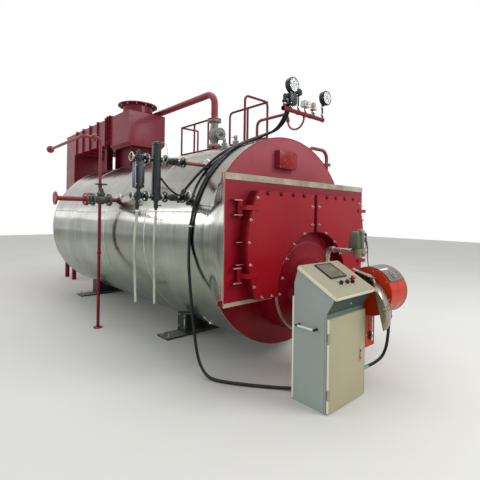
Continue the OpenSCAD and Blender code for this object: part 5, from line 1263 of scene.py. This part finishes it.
sv = Piece("safety_valve_fittings").paint(dull_steel)
for y in (1.13, 1.38):
    sv.lathe((.2, y, 1.3), UP, [(.043, 0), (.045, .003), (.045, .012), (.03, .02), (.0252, .022)], 20)
    for a in DIAGONALS:
        sv.bolt((.2 + .05 * cos(a), y + .05 * sin(a), 1.228), UP, .011, stud=.006, washer=False)
    sv.lathe((.2, y, 1.366), UP, [(.0252, 0), (.028, .003), (.028, .014), (.024, .018)], 6)
    sv.paint(black_iron)
    sv.block(.19, .21, y - .012, y + .085, 1.372, 1.379, .002)
    sv.paint(dull_steel)
    sv.lathe((.2, y - .08, 1.262), FORE, [(.0232, 0), (.029, .003), (.029, .016), (.02, .018)], 24)
sv.done(slot="grey_casting")

ot = Piece("pipe_fittings").paint(dull_steel)
# bolts of the vent's flange and the standpipe's foot and upper flange
for a in DIAGONALS:
    x, y = .98 + .042 * cos(a), .15 + .042 * sin(a)
    ot.bolt((x, y, .978), UP, .011, stud=.004, washer=False)
    ot.bolt((x, y, .95), DOWN, .011, washer=False)
for a in DIAGONALS:
    ot.bolt((-1.255 + .045 * cos(a), 2.29 + .045 * sin(a), -1.293), UP, .010, stud=.004, washer=False)
    for x, e in ((-1.333, 1), (-1.363, -1)):
        ot.bolt((x, 2.29 + .044 * cos(a), 1.3 + .044 * sin(a)), (e, 0, 0), .010, stud=.004, washer=False)
ot.paint(pipe_red)
for z in (-.3, .62):
    ot.lathe((-1.255, 2.29, z), UP, rim(.0212, .0265, .048, .003), 20)
ot.paint(dark_crimson)
for y in (1, 1.85, 2.44, 3.29):
    ot.lathe((.7, y, sqrt(R * R - .7 * .7) - .004), UP, [(.045, 0), (.043, .008), (.018, .012)], 18)
ot.done(slot="dark_crimson_paint")

# ---------------------------------------------------------------- manifold support and its thin siphon
OV, SI = 1.365, 1.355
ms = Piece("manifold_support_pipe").paint(pipe_red)
arch = lambda y, s_: [(0, y + s_ * .075 * cos(a), OV + .075 * sin(a)) for a in [radians(10 * k) for k in range(1, 9)]]
route = [(0, .5, 1.11), (0, .5, OV - .02), (0, .5, OV)] + arch(.425, 1) + [(0, .425, 1.44), (0, .075,
        1.44)] + arch(.075, -1)[::-1]
ms.sweep(route + [(0, 0, OV), (0, 0, SI - .01)], .0175, 18)
ms.lathe((0, .5, 1.13), UP, [(.04, 0), (.04, .035), (.034, .04)], 28)
ms.lathe((0, 0, SI + .012), DOWN, [(.0175, 0), (.0205, .002), (.0205, .022), (.0115, .03)], 18)
ms.sweep([(0, 0, SI)] + [(0, -.115 + .115 * cos(a), SI - .115 * sin(a)) for a in [radians(7.5 * k) for k in range(1,
        24)]]
         + [(0, -.23, SI), (0, -.23, 1.372)], .0105, 16)
ms.lathe((0, -.23, 1.345), UP, rim(.0105, .0165, .02, .002), 6)
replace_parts(ms.done(slot="crimson_paint"), "manifold_support")

# ---------------------------------------------------------------- standpipe and its vent run, clear of the shell
lo, hi = [V(*q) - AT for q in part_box("standpipe")]
SX, SY, SZ, SR, BR, VX = -1.255, 2.29, 1.3, .021, .06, -1.5
quarter = [radians(10 * k) for k in range(1, 9)]
sp = Piece("standpipe_run").paint(pipe_red)
run = [(SX, SY, lo.z + .01), (SX, SY, SZ - BR - .01), (SX, SY, SZ - BR)]
run += [(SX - BR * (1 - cos(a)), SY, SZ - BR + BR * sin(a)) for a in quarter] + [(SX - BR, SY, SZ), (VX + BR, SY, SZ)]
run += [(VX + BR - BR * sin(a), SY + BR * (1 - cos(a)), SZ) for a in quarter] + [(VX, SY + BR, SZ), (VX, hi.y - .002,
        SZ)]
sp.sweep(run, SR, 20)
sp.lathe((SX, SY, lo.z), UP, [(.06, 0), (.06, .01), (.058, .012)], 32)
for x in (SX - BR - .048, SX - BR - .0325):
    sp.lathe((x, SY, SZ), RIGHT, rim(.0565, .0575, .014, .001), 32)
sp.lathe((VX, hi.y - .016, SZ), AFT, rim(.0565, .0575, .016, .001), 32)
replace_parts(sp.done(slot="crimson_paint"), "standpipe")

# ---------------------------------------------------------------- light, backdrop and floor
def area(name, at, towards, sx, sy, power, colour=(1, 1, 1)):
    l = bpy.data.lights.new(name, "AREA")
    l.shape, l.size, l.size_y, l.energy, l.color = "RECTANGLE", sx, sy, power, colour
    o = bpy.data.objects.new(name, l)
    bpy.context.collection.objects.link(o)
    o.location = Vector(at) + AT
    o.rotation_euler = (Vector(towards) - Vector(at)).to_track_quat("-Z", "Y").to_euler()
    return o

area("window_left", (-7.5, 5.5, 2.3), (-1, 2, .0), 9, 1.6, 110)
area("key_front_right", (3, -6.5, 5), (.0, -.5, .0), 4, 3, 380)
area("top", (.0, 2, 7), (.0, 2, .0), 5, 7, 200)

world = bpy.data.worlds.new("studio")
bpy.context.scene.world = world
world.use_nodes = True
w = world.node_tree
w.nodes.clear()
path = w.nodes.new("ShaderNodeLightPath")
either = None
for ray in ("Is Camera Ray", "Is Glossy Ray", "Is Transmission Ray"):
    top = w.nodes.new("ShaderNodeMath")
    top.operation = "MAXIMUM"
    w.links.new(path.outputs[ray], top.inputs[0])
    if either:
        w.links.new(either.outputs[0], top.inputs[1])
    either = top
seen = w.nodes.new("ShaderNodeBackground")
seen.inputs["Color"].default_value = (1, 1, 1, 1)
lit = w.nodes.new("ShaderNodeBackground")
lit.inputs["Color"].default_value = (1, 1, 1, 1)
lit.inputs["Strength"].default_value = .42
mix = w.nodes.new("ShaderNodeMixShader")
w.links.new(either.outputs[0], mix.inputs[0])
w.links.new(lit.outputs[0], mix.inputs[1])
w.links.new(seen.outputs[0], mix.inputs[2])
w.links.new(mix.outputs[0], w.nodes.new("ShaderNodeOutputWorld").inputs[0])

floor_look = surface("pale_floor", (214, 214, 210), .7, vary=.02, scale=.8, bump=.05)
fl = bpy.data.meshes.new("floor")
k = 24
n = 24
fl.from_pydata([(-k + 2 * k * i / n, -k + 2 * k * j / n, 0) for j in range(n + 1) for i in range(n + 1)], [],
               [[j * (n + 1) + i, j * (n + 1) + i + 1, (j + 1) * (n + 1) + i + 1,
                 (j + 1) * (n + 1) + i] for j in range(n) for i in range(n)])
fl.materials.append(floor_look)
floor = bpy.data.objects.new("floor", fl)
bpy.context.collection.objects.link(floor)
